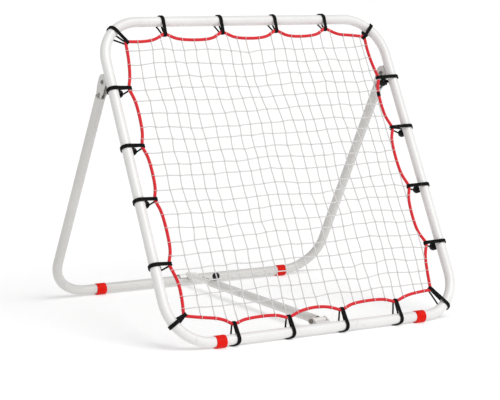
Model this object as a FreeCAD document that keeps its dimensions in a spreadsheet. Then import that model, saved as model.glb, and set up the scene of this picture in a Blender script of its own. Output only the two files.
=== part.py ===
import FreeCAD, Part
import math
import os

import Sketcher
from FreeCAD import Placement, Rotation, Vector

# Folding ball rebounder: a square net frame that leans back on a U-shaped rear leg, held open
# by a telescopic strut between the frame's bottom tube and the leg's cross tube.
# X is the width, the net faces -Y and up, the rear leg stands at +Y, the floor is Z = 0.
# The origin is on the floor, in the middle of the footprint.

os.makedirs("parts", exist_ok=True)
doc = FreeCAD.newDocument("rebounder")
sheet = doc.addObject("Spreadsheet::Sheet", "dims")
sheet.Label = "dims"

DIMS = [
    ("half_width", 407.5, "frame tube axis from the centre line"),
    ("frame_side", 815.0, "frame height along its slope, axis to axis"),
    ("frame_bend", 105.0, "bend radius of the frame corners, on the axis"),
    ("frame_tilt", 61.2, "slope of the frame from the floor, degrees"),
    ("tube_dia", 25.0, "frame and leg tube diameter"),
    ("tube_wall", 1.2, "frame and leg tube wall"),
    ("axis_height", 16.5, "height of the lowest tube axes"),
    ("front_axis_y", -338.5, "bottom front tube axis"),
    ("spigot_length", 120.0, "sleeve inside each frame joint"),
    ("spigot_wall", 1.5, "sleeve wall"),
    ("rivet_from_seam", 30.0, "joint rivet from the seam"),
    ("rivet_dia", 4.0, "joint rivet shank"),
    ("pivot_along", 672.0, "leg pivot along the frame from the bottom axis"),
    ("pivot_behind", 31.0, "leg pivot behind the frame plane"),
    ("leg_offset", 3.0, "leg tube axis behind the pivot"),
    ("leg_reach", 338.5, "rear cross tube axis from the centre"),
    ("leg_bend", 100.0, "bend radius of the leg, on the axis"),
    ("leg_start", 44.0, "upper end of the leg tube below the pivot"),
    ("lug_half", 4.2, "half width of the lug on the frame"),
    ("lug_wall", 1.6, "lug sheet"),
    ("lug_round", 12.0, "radius of the lug about the pivot"),
    ("fork_half", 4.6, "half the inner width of the leg fork"),
    ("fork_wall", 2.0, "fork sheet"),
    ("fork_round", 18.0, "radius of the fork at the top"),
    ("fork_length", 42.0, "fork plates below the pivot"),
    ("tongue_length", 30.0, "fork tongue below the plates, inside the leg tube"),
    ("tongue_half", 7.4, "half depth of the tongue"),
    ("fork_rivet_at", 36.0, "fork rivet below the pivot"),
    ("fork_rivet_dia", 5.0, "fork rivet shank"),
    ("pivot_bolt_dia", 6.0, "pivot bolt shank"),
    ("pivot_head_dia", 10.5, "pivot bolt head"),
    ("pivot_head_high", 3.3, "pivot bolt head height"),
    ("nut_flats", 10.0, "nut across flats"),
    ("nut_high", 5.0, "nut height"),
    ("running_gap", 0.05, "radial clearance of a running fit"),
    ("hinge_y", -314.5, "front strut hinge"),
    ("hinge_z", 30.0, "height of the strut axis and its hinge"),
    ("barrel_dia", 16.0, "hinge barrel"),
    ("barrel_length", 34.0, "hinge barrel length"),
    ("ear_inside", 34.6, "between the ears of the strut bracket"),
    ("ear_wall", 2.5, "ear sheet"),
    ("ear_round", 9.5, "radius of the ears about the hinge"),
    ("strut_dia", 22.0, "outer strut tube"),
    ("strut_wall", 1.4, "outer strut tube wall"),
    ("strut_end", 205.0, "rear end of the outer strut tube"),
    ("slider_dia", 17.0, "inner strut tube"),
    ("slider_wall", 1.2, "inner strut tube wall"),
    ("slider_start", 64.0, "front end of the inner strut tube"),
    ("slider_travel", 70.0, "how far the strut can shorten"),
    ("pin_y", 182.0, "locking pin"),
    ("pin_dia", 6.0, "locking pin"),
    ("pin_pull", 4.0, "travel of the locking pin"),
    ("bush_length", 40.0, "guide bush"),
    ("collar_dia", 11.0, "pin housing"),
    ("collar_bore", 9.4, "spring room in the pin housing"),
    ("collar_top", 20.0, "top of the pin housing above the strut axis"),
    ("spring_radius", 3.85, "spring, mean radius"),
    ("spring_wire", 0.6, "spring wire"),
    ("spring_pitch", 1.35, "spring pitch"),
    ("spring_turns", 4.0, "spring turns"),
    ("knob_dia", 20.0, "ball knob"),
    ("knob_high", 22.0, "centre of the ball knob above the strut axis"),
    ("knob_room", 12.0, "recess under the knob"),
    ("saddle_gap", 0.3, "clearance of the saddle liner on the cross tube"),
    ("liner_wall", 1.5, "saddle liner"),
    ("saddle_wall", 2.0, "saddle sheet"),
    ("saddle_width", 56.0, "saddle width"),
    ("liner_width", 59.0, "liner width"),
    ("band_dia", 32.6, "foot band"),
    ("band_width", 28.0, "foot band width"),
    ("band_drop", 0.7, "centre of the foot band below the tube axis"),
    ("net_behind", -4.0, "net plane behind the frame plane"),
    ("net_thick", 2.0, "net twine"),
    ("net_pitch_x", 31.43, "mesh width"),
    ("net_pitch_s", 32.58, "mesh height"),
    ("rope_dia", 8.0, "border rope"),
    ("loop_width", 8.0, "doubled elastic cord"),
    ("loop_thick", 3.4, "elastic cord"),
    ("loop_room", 6.4, "inner radius of an elastic loop about the rope"),
    ("ball_dia", 20.0, "ball on each elastic loop"),
    ("ball_bore", 5.6, "bore of the ball"),
    ("ball_seat", 7.4, "seat of the knot in the ball"),
    ("neck_dia", 5.0, "cord between loop and ball"),
    ("knot_dia", 6.6, "knot in the ball"),
]
for row, (alias, value, note) in enumerate(DIMS, start=1):
    sheet.set("A%d" % row, note)
    sheet.set("B%d" % row, str(value))
    sheet.setAlias("B%d" % row, alias)
doc.recompute()


class Dim:
    """A number together with the sheet expression that gives it."""

    def __init__(self, v, e):
        self.v, self.e = float(v), e

    def _two(self, other, sign, swap=False):
        o = other if isinstance(other, Dim) else Dim(other, None)
        a, b = (o, self) if swap else (self, o)
        v = {"+": a.v + b.v, "-": a.v - b.v, "*": a.v * b.v, "/": a.v / b.v if b.v else 0.0}[sign]
        if a.e is None and b.e is None:
            return Dim(v, None)
        return Dim(v, "(%s %s %s)" % (a.e or "(%r)" % a.v, sign, b.e or "(%r)" % b.v))

    def __add__(self, o):
        return self._two(o, "+")

    def __radd__(self, o):
        return self._two(o, "+", True)

    def __sub__(self, o):
        return self._two(o, "-")

    def __rsub__(self, o):
        return self._two(o, "-", True)

    def __mul__(self, o):
        return self._two(o, "*")

    def __rmul__(self, o):
        return self._two(o, "*", True)

    def __truediv__(self, o):
        return self._two(o, "/")

    def __neg__(self):
        return self._two(-1.0, "*")


D = {alias: Dim(float(sheet.get(alias)), "dims.%s" % alias) for alias, _, _ in DIMS}


def num(x):
    return x if isinstance(x, Dim) else Dim(x, None)


def bind(obj, prop, dim):
    dim = num(dim)
    setattr(obj, prop, dim.v)
    if dim.e:
        obj.setExpression(prop, dim.e)


# ---------------------------------------------------------------- places
tilt = math.radians(D["frame_tilt"].v)
YF, ZF = D["front_axis_y"].v, D["axis_height"].v
HW = D["half_width"].v
# frame plane: local x, y up along the slope, z forward out of the net's face
FRAME = Placement(Vector(0, YF, ZF), Rotation(Vector(1, 0, 0), D["frame_tilt"].v))
pivot = FRAME.multVec(Vector(0, D["pivot_along"].v, -D["pivot_behind"].v))
# leg plane: local y up along the leg, z forward and down
RY = D["leg_reach"].v
far, drop_ = RY - pivot.y, pivot.z - ZF
leg_len = math.sqrt(far * far + drop_ * drop_ - D["leg_offset"].v ** 2)
lean = math.atan2(drop_, far) + math.atan2(D["leg_offset"].v, leg_len)
LEG = Placement(Vector(0, pivot.y, pivot.z), Rotation(Vector(1, 0, 0), 180.0 - math.degrees(lean)))
foot = LEG.multVec(Vector(0, -leg_len, -D["leg_offset"].v))


def shift(x=0.0, y=0.0, z=0.0):
    return Placement(Vector(x, y, z), Rotation())


# ---------------------------------------------------------------- helpers
def body(name):
    b = doc.addObject("PartDesign::Body", name)
    b.Label = name
    return b


def sketch(b, name, role, offset=0.0):
    s = b.newObject("Sketcher::SketchObject", name)
    for f in b.Origin.OriginFeatures:
        if f.Role == role:
            s.AttachmentSupport = [(f, "")]
    s.MapMode = "FlatFace"
    if offset:
        s.AttachmentOffset = Placement(Vector(0, 0, offset), Rotation())
    return s


def limit(s, constraint, dim):
    i = s.addConstraint(constraint)
    dim = num(dim)
    if dim.e:
        s.setExpression("Constraints[%d]" % i, dim.e)


def polygon(s, points):
    """Closed outline; every corner is held from the sketch origin."""
    C = Sketcher.Constraint
    pts = [(num(a), num(b)) for a, b in points]
    n = len(pts)
    first = s.GeometryCount
    for i in range(n):
        a, b = pts[i], pts[(i + 1) % n]
        s.addGeometry(Part.LineSegment(Vector(a[0].v, a[1].v, 0), Vector(b[0].v, b[1].v, 0)), False)
    for i in range(n):
        s.addConstraint(C("Coincident", first + i, 2, first + (i + 1) % n, 1))
    for i, (a, b) in enumerate(pts):
        g = first + i
        for axis, kind, d in ((-2, "DistanceX", a), (-1, "DistanceY", b)):
            if abs(d.v) < 1e-9:
                s.addConstraint(C("PointOnObject", g, 1, axis))
            elif d.v > 0:
                limit(s, C(kind, -1, 1, g, 1, d.v), d)
            else:
                limit(s, C(kind, g, 1, -1, 1, -d.v), -d)


def circle(s, cx, cy, r):
    C = Sketcher.Constraint
    cx, cy, r = num(cx), num(cy), num(r)
    g = s.addGeometry(Part.Circle(Vector(cx.v, cy.v, 0), Vector(0, 0, 1), r.v), False)
    limit(s, C("Radius", g, r.v), r)
    for axis, kind, d in ((-2, "DistanceX", cx), (-1, "DistanceY", cy)):
        if abs(d.v) < 1e-9:
            s.addConstraint(C("PointOnObject", g, 3, axis))
        elif d.v > 0:
            limit(s, C(kind, -1, 1, g, 3, d.v), d)
        else:
            limit(s, C(kind, g, 3, -1, 1, -d.v), -d)
    return g


def pad(b, s, length, middle=True):
    f = b.newObject("PartDesign::Pad", s.Name + "_pad")
    f.Profile = s
    bind(f, "Length", length)
    if middle:
        f.SideType = "Symmetric"
    return f


def pocket(b, s, length=None, middle=True, flip=False):
    f = b.newObject("PartDesign::Pocket", s.Name + "_cut")
    f.Profile = s
    if length is None:
        f.Type = "ThroughAll"
    else:
        bind(f, "Length", length)
    if middle:
        f.SideType = "Symmetric"
    f.Reversed = flip
    return f


checks = []


def cut_check(b, feature, name):
    checks.append((name, feature))


def u_tube(name, half, rise, bend, outer, inner):
    """Tube bent into a U: two arms along y, joined by a straight run at y = rise."""
    C = Sketcher.Constraint
    b = body(name)
    s = sketch(b, name + "_path", "XY_Plane")
    h, k, r = half.v, rise.v, bend.v
    up = Vector(0, 0, 1)
    s.addGeometry([
        Part.LineSegment(Vector(-h, 0, 0), Vector(-h, k - r, 0)),
        Part.ArcOfCircle(Part.Circle(Vector(-h + r, k - r, 0), up, r), math.pi / 2, math.pi),
        Part.LineSegment(Vector(-h + r, k, 0), Vector(h - r, k, 0)),
        Part.ArcOfCircle(Part.Circle(Vector(h - r, k - r, 0), up, r), 0, math.pi / 2),
        Part.LineSegment(Vector(h, k - r, 0), Vector(h, 0, 0)),
    ], False)
    s.addConstraint([
        C("Tangent", 0, 2, 1, 2), C("Tangent", 1, 1, 2, 1), C("Tangent", 2, 2, 3, 2),
        C("Tangent", 3, 1, 4, 1), C("Vertical", 0), C("Horizontal", 2), C("Vertical", 4),
        C("PointOnObject", 0, 1, -1), C("Symmetric", 0, 1, 4, 2, -2), C("Equal", 1, 3),
    ])
    limit(s, C("Radius", 1, r), bend)
    limit(s, C("DistanceX", 0, 1, 4, 2, 2 * h), 2 * half)
    limit(s, C("DistanceY", 0, 1, 2, 1, k), rise)
    p = sketch(b, name + "_section", "XZ_Plane")
    circle(p, -half, 0, outer)
    circle(p, -half, 0, inner)
    f = b.newObject("PartDesign::AdditivePipe", name + "_pipe")
    f.Profile = p
    f.Spine = (s, ["Edge%d" % i for i in range(1, 6)])
    return b


def cyl(name, r, length, base=Vector(0, 0, 0), along=Vector(0, 0, 1)):
    o = doc.addObject("Part::Cylinder", name)
    bind(o, "Radius", r)
    bind(o, "Height", length)
    o.Placement = Placement(base, Rotation(Vector(0, 0, 1), along))
    return o


def box(name, dx, dy, dz, corner):
    o = doc.addObject("Part::Box", name)
    bind(o, "Length", dx)
    bind(o, "Width", dy)
    bind(o, "Height", dz)
    o.Placement = Placement(corner, Rotation())
    return o


def cone(name, r1, r2, length, base, along):
    o = doc.addObject("Part::Cone", name)
    bind(o, "Radius1", r1)
    bind(o, "Radius2", r2)
    bind(o, "Height", length)
    o.Placement = Placement(base, Rotation(Vector(0, 0, 1), along))
    return o


def cut(name, base, tool):
    o = doc.addObject("Part::Cut", name)
    o.Base, o.Tool = base, tool
    checks.append((name, o))
    return o


def join(name, parts):
    o = doc.addObject("Part::MultiFuse", name)
    o.Shapes = parts
    return o


def group(name, parts):
    o = doc.addObject("Part::Compound", name)
    o.Links = parts
    return o


def prism(name, flats, length, base, along):
    o = doc.addObject("Part::Prism", name)
    o.Polygon = 6
    bind(o, "Circumradius", flats / math.sqrt(3.0))
    bind(o, "Height", length)
    o.Placement = Placement(base, Rotation(Vector(0, 0, 1), along))
    return o


X = Vector(1, 0, 0)
NX = Vector(-1, 0, 0)
NODES = {}


def node(name, obj, place=None):
    obj.Label = name
    if place is not None:
        obj.Placement = place
    NODES[name] = obj
    return obj


TR = D["tube_dia"] / 2
TI = D["tube_dia"] / 2 - D["tube_wall"]
MID = D["frame_side"] / 2

# ---------------------------------------------------------------- frame tubes
for name, turn in (("frame_upper_tube", 0.0), ("frame_lower_tube", 180.0)):
    b = u_tube(name, D["half_width"], MID, D["frame_bend"], TR, TI)
    s = sketch(b, name + "_holes", "XY_Plane")
    circle(s, -D["half_width"], D["rivet_from_seam"], D["rivet_dia"] / 2)
    circle(s, D["half_width"], D["rivet_from_seam"], D["rivet_dia"] / 2)
    cut_check(b, pocket(b, s, TR + 2, middle=False), name + " rivet holes")
    # the lower half is the upper one turned over about the line across the frame's back
    node(name, b, FRAME.multiply(Placement(Vector(0, MID.v, 0), Rotation(Vector(0, 0, 1), turn))))

# sleeves and rivets of the two frame joints
sleeves, rivets = [], []
for side in (-1, 1):
    tag = "left" if side < 0 else "right"
    o = cyl("sleeve_out_" + tag, TI - 0.05, D["spigot_length"], Vector(side * HW, MID.v - D["spigot_length"].v / 2, 0), Vector(0, 1, 0))
    i = cyl("sleeve_in_" + tag, TI - 0.05 - D["spigot_wall"], D["spigot_length"] + 2, Vector(side * HW, MID.v - D["spigot_length"].v / 2 - 1, 0), Vector(0, 1, 0))
    s = cut("sleeve_tube_" + tag, o, i)
    for end in (-1, 1):
        t2 = tag + ("_low" if end < 0 else "_high")
        at = Vector(side * HW, MID.v + end * D["rivet_from_seam"].v, 0)
        drill = cyl("sleeve_drill_" + t2, D["rivet_dia"] / 2, 14, at, Vector(0, 0, -1))
        s = cut("sleeve_holed_" + t2, s, drill)
        shank = cyl("joint_shank_" + t2, D["rivet_dia"] / 2, 4.9, at + Vector(0, 0, -9.1), Vector(0, 0, -1))
        rim = cyl("joint_rim_" + t2, D["rivet_dia"] * 0.95, 1.6, at + Vector(0, 0, -11.8), Vector(0, 0, -1))
        dome = cone("joint_dome_" + t2, D["rivet_dia"] * 0.95, D["rivet_dia"] * 0.5, 0.9, at + Vector(0, 0, -13.4), Vector(0, 0, -1))
        tail = cyl("joint_tail_" + t2, D["rivet_dia"] * 0.62, 1.0, at + Vector(0, 0, -8.2), Vector(0, 0, -1))
        head = cut("joint_head_" + t2, join("joint_top_" + t2, [rim, dome]), cyl("joint_seat_" + t2, TR, 20, at + Vector(0, -10, -at.z), Vector(0, 1, 0)))
        rivets.append(join("joint_rivet_" + t2, [shank, head, tail]))
    sleeves.append(s)
node("frame_spigots", group("frame_spigots", sleeves), FRAME)
node("frame_rivets", group("frame_rivets", rivets), FRAME)

# ---------------------------------------------------------------- leg pivots
lug_base = -D["pivot_behind"] + TR
for side in (-1, 1):
    tag = "left" if side < 0 else "right"
    # channel welded to the back of the frame tube; local y along the slope, z forward
    b = body("pivot_lug_" + tag)
    s = sketch(b, "lug_web_" + tag, "YZ_Plane")
    polygon(s, [(-15, -lug_base), (19, -lug_base), (D["lug_round"] * 0.9, -D["lug_round"] * 0.1), (-D["lug_round"] * 0.9, -D["lug_round"] * 0.1)])
    pad(b, s, 2 * D["lug_half"])
    s = sketch(b, "lug_eye_" + tag, "YZ_Plane")
    circle(s, 0, 0, D["lug_round"])
    pad(b, s, 2 * D["lug_half"])
    s = sketch(b, "lug_room_" + tag, "YZ_Plane")
    polygon(s, [(-30, -lug_base - D["lug_wall"]), (30, -lug_base - D["lug_wall"]), (30, -20), (-30, -20)])
    f = pocket(b, s, 2 * D["lug_half"] - 2 * D["lug_wall"])
    cut_check(b, f, "lug room " + tag)
    s = sketch(b, "lug_hole_" + tag, "YZ_Plane")
    circle(s, 0, 0, D["pivot_bolt_dia"] / 2)
    cut_check(b, pocket(b, s, 60), "lug hole " + tag)
    node("pivot_lug_" + tag, b, FRAME.multiply(shift(side * HW, D["pivot_along"].v, -D["pivot_behind"].v)))

    # fork at the top of the leg; local y up the leg, z forward and down
    # two plates as wide as the flattened tube would be, and a narrower tongue that sits in the tube
    b = body("leg_fork_" + tag)
    off = D["leg_offset"]
    full = 2 * D["fork_half"] + 2 * D["fork_wall"]
    rear, foot_z = -D["fork_round"] - off, TR + off
    low = D["fork_length"] + D["tongue_length"]
    deep = D["tongue_half"]
    s = sketch(b, "fork_web_" + tag, "YZ_Plane")
    polygon(s, [(-14, rear), (-20, rear), (-D["fork_length"], -foot_z), (-D["fork_length"], -foot_z + D["fork_wall"]), (-20, rear + D["fork_wall"]), (-14, rear + D["fork_wall"])])
    pad(b, s, full)
    for cheek, sgn in (("outer", side), ("inner", -side)):
        start = D["fork_half"].v if sgn > 0 else -D["fork_half"].v - D["fork_wall"].v
        s = sketch(b, "fork_%s_%s" % (cheek, tag), "YZ_Plane", start)
        polygon(s, [(0, D["fork_round"] - off), (-20, D["fork_round"] - off), (-D["fork_length"], TR - off), (-D["fork_length"], -foot_z), (-20, rear), (0, rear)])
        pad(b, s, D["fork_wall"], middle=False)
        s = sketch(b, "fork_round_%s_%s" % (cheek, tag), "YZ_Plane", start)
        circle(s, 0, -off, D["fork_round"])
        pad(b, s, D["fork_wall"], middle=False)
        s = sketch(b, "fork_tongue_%s_%s" % (cheek, tag), "YZ_Plane", start)
        polygon(s, [(-38, deep - off), (-low, deep - off), (-low, -deep - off), (-38, -deep - off)])
        pad(b, s, D["fork_wall"], middle=False)
    s = sketch(b, "fork_tongue_web_" + tag, "YZ_Plane")
    polygon(s, [(-38, D["fork_wall"] - deep - off), (-low, D["fork_wall"] - deep - off), (-low, -deep - off), (-38, -deep - off)])
    pad(b, s, full)
    s = sketch(b, "fork_holes_" + tag, "YZ_Plane")
    circle(s, 0, 0, D["pivot_bolt_dia"] / 2 + D["running_gap"])
    circle(s, -D["fork_rivet_at"], -1, D["fork_rivet_dia"] / 2)
    cut_check(b, pocket(b, s, 80), "fork holes " + tag)
    node("leg_fork_" + tag, b, LEG.multiply(shift(side * HW)))

bolts, nuts, frivets, plugs = [], [], [], []
for side in (-1, 1):
    tag = "left" if side < 0 else "right"
    out = X if side > 0 else NX
    face = D["fork_half"].v + D["fork_wall"].v + 0.1
    c = Vector(side * HW, pivot.y, pivot.z)
    shank = cyl("pivot_shank_" + tag, D["pivot_bolt_dia"] / 2, 2 * face + D["nut_high"].v + 2.0, c + out * face, -out)
    rim = cyl("pivot_rim_" + tag, D["pivot_head_dia"] / 2, D["pivot_head_high"] * 0.5, c + out * face, out)
    dome = cone("pivot_dome_" + tag, D["pivot_head_dia"] / 2, D["pivot_head_dia"] * 0.33, D["pivot_head_high"] * 0.5, c + out * (face + D["pivot_head_high"].v * 0.5), out)
    hexa = prism("pivot_socket_" + tag, 4.0, 2.0, c + out * (face + D["pivot_head_high"].v - 2.0), out)
    bolts.append(cut("pivot_bolt_" + tag, join("pivot_bolt_solid_" + tag, [shank, rim, dome]), hexa))
    blank = prism("pivot_nut_blank_" + tag, D["nut_flats"], D["nut_high"], c - out * face, -out)
    bore = cyl("pivot_nut_bore_" + tag, D["pivot_bolt_dia"] / 2, 12, c - out * (face - 2), -out)
    nuts.append(cut("pivot_nut_" + tag, blank, bore))
    # rivet through fork and leg, and the plug in the leg's open top end, both in leg coordinates
    w0 = D["fork_half"].v + D["fork_wall"].v
    rv = Vector(side * HW, -D["fork_rivet_at"].v, -1)
    r0 = cyl("fork_shank_" + tag, D["fork_rivet_dia"] / 2, 2 * w0, rv + NX * w0, X)
    r1 = cyl("fork_head_a_" + tag, D["fork_rivet_dia"] * 0.9, 0.8, rv + X * w0, X)
    r2 = cone("fork_head_b_" + tag, D["fork_rivet_dia"] * 0.9, D["fork_rivet_dia"] * 0.5, 1.0, rv + X * (w0 + 0.8), X)
    r3 = cyl("fork_head_c_" + tag, D["fork_rivet_dia"] * 0.9, 0.8, rv + NX * w0, NX)
    r4 = cone("fork_head_d_" + tag, D["fork_rivet_dia"] * 0.9, D["fork_rivet_dia"] * 0.5, 1.0, rv + NX * (w0 + 0.8), NX)
    frivets.append(join("fork_rivet_" + tag, [r0, r1, r2, r3, r4]))
    top = Vector(side * HW, -D["leg_start"].v, -D["leg_offset"].v)
    p0 = cyl("plug_body_" + tag, TI, 12, top, Vector(0, -1, 0))
    p1 = cyl("plug_cap_" + tag, TR, 2, top, Vector(0, 1, 0))
    tw, td = D["fork_half"] + D["fork_wall"] + 0.05, D["tongue_half"] + 0.05
    slit = box("plug_slit_" + tag, 2 * tw, 40, 2 * td, top + Vector(-tw.v, -30, -td.v))
    plugs.append(cut("plug_" + tag, join("plug_solid_" + tag, [p0, p1]), slit))
node("pivot_bolts", group("pivot_bolts", bolts))
node("pivot_nuts", group("pivot_nuts", nuts))
node("fork_rivets", group("fork_rivets", frivets), LEG)
node("leg_end_plugs", group("leg_end_plugs", plugs), LEG)

# ---------------------------------------------------------------- leg tube
rise = Dim(leg_len, None) - D["leg_start"].v
rise = Dim(rise.v, "((%r) - dims.leg_start)" % leg_len)
b = u_tube("leg_tube", D["half_width"], rise, D["leg_bend"], TR, TI)
node("leg_tube", b, LEG.multiply(Placement(Vector(0, -D["leg_start"].v, -D["leg_offset"].v), Rotation(Vector(0, 0, 1), 180))))

# ---------------------------------------------------------------- front strut bracket
dy, dz = D["hinge_y"] - D["front_axis_y"], D["hinge_z"] - D["axis_height"]
b = body("strut_bracket")
s = sketch(b, "bracket_side", "YZ_Plane")
polygon(s, [(13.9, -5.6), (dy + 4.6, dz - 8.2), (dy + 0.2, dz + 9.4), (2.6, 14.7), (6, 4)])
wide = D["ear_inside"] + 2 * D["ear_wall"]
pad(b, s, wide)
s = sketch(b, "bracket_eye", "YZ_Plane")
circle(s, dy, dz, D["ear_round"])
pad(b, s, wide)
s = sketch(b, "bracket_seat", "YZ_Plane")
circle(s, 0, 0, TR)
cut_check(b, pocket(b, s, 100), "bracket seat")
s = sketch(b, "bracket_room", "YZ_Plane")
polygon(s, [(17.2, -10), (45, -10), (45, 35), (4.6, 35), (4.6, 15.6), (10.6, 12.2), (14.6, 6.6)])
cut_check(b, pocket(b, s, D["ear_inside"]), "bracket room")
s = sketch(b, "bracket_hole", "YZ_Plane")
circle(s, dy, dz, D["pivot_bolt_dia"] / 2)
cut_check(b, pocket(b, s, 100), "bracket hole")
node("strut_bracket", b, shift(0, YF, ZF))

c = Vector(0, D["hinge_y"].v, D["hinge_z"].v)
half = wide.v / 2
shank = cyl("hinge_shank", D["pivot_bolt_dia"] / 2, 2 * half + 8, c + NX * (half + 8), X)
head = prism("hinge_head", D["nut_flats"], 4.5, c + X * half, X)
node("strut_hinge_bolt", join("strut_hinge_bolt", [shank, head]))
node("strut_hinge_nut", cut("strut_hinge_nut", prism("hinge_nut_blank", D["nut_flats"], 6.0, c + NX * half, NX),
                            cyl("hinge_nut_bore", D["pivot_bolt_dia"] / 2, 20, c + NX * (half - 4), NX)))

# ---------------------------------------------------------------- strut
SR = D["strut_dia"] / 2
pin_at = D["pin_y"] - D["hinge_y"]
node("strut_hinge_barrel", cut("strut_hinge_barrel",
     cyl("barrel_out", D["barrel_dia"] / 2, D["barrel_length"], c + NX * (D["barrel_length"].v / 2), X),
     cyl("barrel_bore", D["pivot_bolt_dia"] / 2 + D["running_gap"], D["barrel_length"] + 4, c + NX * (D["barrel_length"].v / 2 + 2), X)))
length = D["strut_end"] - D["hinge_y"] - 6
t0 = c + Vector(0, 6, 0)
o = cut("strut_hollow", cyl("strut_out", SR, length, t0, Vector(0, 1, 0)), cyl("strut_in", SR - D["strut_wall"], length + 4, t0 - Vector(0, 2, 0), Vector(0, 1, 0)))
o = cut("strut_coped", o, cyl("strut_cope", D["barrel_dia"] / 2, 60, c + NX * 30, X))
pin_c = Vector(0, D["pin_y"].v, D["hinge_z"].v)
o = cut("strut_outer_tube", o, cyl("strut_pin_hole", D["pin_dia"] / 2 + 0.3, 20, pin_c, Vector(0, 0, 1)))
node("strut_outer_tube", o)

bo = cyl("bush_out", SR - D["strut_wall"], D["bush_length"], c + Vector(0, D["strut_end"].v - D["hinge_y"].v - D["bush_length"].v, 0), Vector(0, 1, 0))
bi = cyl("bush_in", D["slider_dia"] / 2 + D["running_gap"], D["bush_length"] + 4, c + Vector(0, D["strut_end"].v - D["hinge_y"].v - D["bush_length"].v - 2, 0), Vector(0, 1, 0))
node("strut_guide_bush", cut("strut_guide_bush", cut("bush_ring", bo, bi), cyl("bush_pin_hole", D["pin_dia"] / 2 + 0.3, 20, pin_c, Vector(0, 0, 1))))

# pin housing on top of the outer tube: a collar with a guide hole in its roof
h0 = cyl("collar_out", D["collar_dia"] / 2, D["collar_top"] - 7, pin_c + Vector(0, 0, 7), Vector(0, 0, 1))
h1 = cut("collar_seated", h0, cyl("collar_seat", SR, 60, pin_c - Vector(0, 30, 0), Vector(0, 1, 0)))
h2 = cut("collar_room", h1, cyl("collar_bore", D["collar_bore"] / 2, D["collar_top"] - 1.5 - 7, pin_c + Vector(0, 0, 7), Vector(0, 0, 1)))
node("plunger_housing", cut("plunger_housing", h2, cyl("collar_guide", D["pin_dia"] / 2 + D["running_gap"], 20, pin_c + Vector(0, 0, 10), Vector(0, 0, 1))))

# spring between the pin's shoulder and the collar's roof
# each half turn is a flat arc, tilted by half the pitch, and the arcs meet tangent to each other
sr_, sp_ = D["spring_radius"].v, D["spring_pitch"].v
bulge = math.hypot(sr_, sp_ / 4)
arcs, side = [], 1.0
for k in range(int(round(2 * D["spring_turns"].v))):
    z = 12.75 + k * sp_ / 2
    arcs.append(Part.Arc(Vector(side * sr_, 0, z), Vector(0, side * bulge, z + sp_ / 4), Vector(-side * sr_, 0, z + sp_ / 2)).toShape())
    side = -side
coil = Part.Wire(arcs)
wire_end = Part.Wire([Part.Circle(Vector(sr_, 0, 12.75), Vector(0, 1, 0), D["spring_wire"].v / 2).toShape()])
spring = coil.makePipeShell([wire_end], True, False)
print("spring: volume %.2f of %.2f" % (spring.Volume, math.pi * (D["spring_wire"].v / 2) ** 2 * coil.Length))
o = doc.addObject("Part::Feature", "plunger_spring")
o.Shape = spring
node("plunger_spring", o, Placement(pin_c, Rotation()))

# locking pin and its ball knob
k0 = cyl("pin_shaft", D["pin_dia"] / 2, D["knob_high"] + 0.3, pin_c + Vector(0, 0, 5.2), Vector(0, 0, 1))
k1 = cyl("pin_shoulder", D["collar_bore"] / 2 - 0.3, 1.0, pin_c + Vector(0, 0, 11.4), Vector(0, 0, 1))
node("lock_pin", join("lock_pin", [k0, k1]))
b = body("knob")
s = sketch(b, "knob_profile", "XZ_Plane")
C = Sketcher.Constraint
kr, kh = D["knob_dia"].v / 2, 0.0
cutz = -8.3
half_flat = math.sqrt(kr * kr - cutz * cutz)
a0 = math.atan2(cutz, half_flat)
s.addGeometry([
    Part.ArcOfCircle(Part.Circle(Vector(0, 0, 0), Vector(0, 0, 1), kr), a0, math.pi / 2),
    Part.LineSegment(Vector(0, kr, 0), Vector(0, cutz, 0)),
    Part.LineSegment(Vector(0, cutz, 0), Vector(half_flat, cutz, 0)),
], False)
s.addConstraint([C("Coincident", 0, 2, 1, 1), C("Coincident", 1, 2, 2, 1), C("Coincident", 2, 2, 0, 1),
                 C("Coincident", 0, 3, -1, 1), C("Vertical", 1), C("Horizontal", 2), C("PointOnObject", 1, 1, -2)])
limit(s, C("Radius", 0, kr), D["knob_dia"] / 2)
s.addConstraint(C("DistanceY", 1, 2, -1, 1, -cutz))
f = b.newObject("PartDesign::Revolution", "knob_ball")
f.Profile = s
f.ReferenceAxis = (s, ["V_Axis"])
f.Angle = 360
s = sketch(b, "knob_recess", "XY_Plane", cutz)
circle(s, 0, 0, D["knob_room"] / 2)
cut_check(b, pocket(b, s, 8.3, middle=False, flip=True), "knob recess")
s = sketch(b, "knob_bore", "XY_Plane", cutz)
circle(s, 0, 0, D["pin_dia"] / 2)
cut_check(b, pocket(b, s, 13.8, middle=False, flip=True), "knob bore")
node("knob", b, Placement(pin_c + Vector(0, 0, D["knob_high"].v), Rotation()))

# inner tube: a slot lets the pin pass as the strut shortens, its end stops the tube at full length
IR = D["slider_dia"] / 2
r_saddle = TR.v + D["saddle_gap"].v + D["liner_wall"].v + D["saddle_wall"].v
i_len = Dim(RY - 4.0, None).v - D["slider_start"].v
i0 = Vector(0, D["slider_start"].v, D["hinge_z"].v)
o = cut("slider_hollow", cyl("slider_out", IR, i_len, i0, Vector(0, 1, 0)), cyl("slider_in", IR - D["slider_wall"], i_len + 4, i0 - Vector(0, 2, 0), Vector(0, 1, 0)))
o = cut("slider_coped", o, cyl("slider_cope", r_saddle, 80, Vector(-40, RY, ZF), X))
sw = D["pin_dia"].v / 2 + 0.3
slot_end = D["pin_y"].v + D["slider_travel"].v + 1.0
slot = join("slot_tool", [
    cyl("slot_front", sw, 12, pin_c, Vector(0, 0, 1)),
    cyl("slot_back", sw, 12, Vector(0, slot_end, pin_c.z), Vector(0, 0, 1)),
    box("slot_mid", 2 * sw, D["slider_travel"] + 1.0, 12, pin_c + Vector(-sw, 0, 0))])
o = cut("slider_slotted", o, slot)
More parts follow.
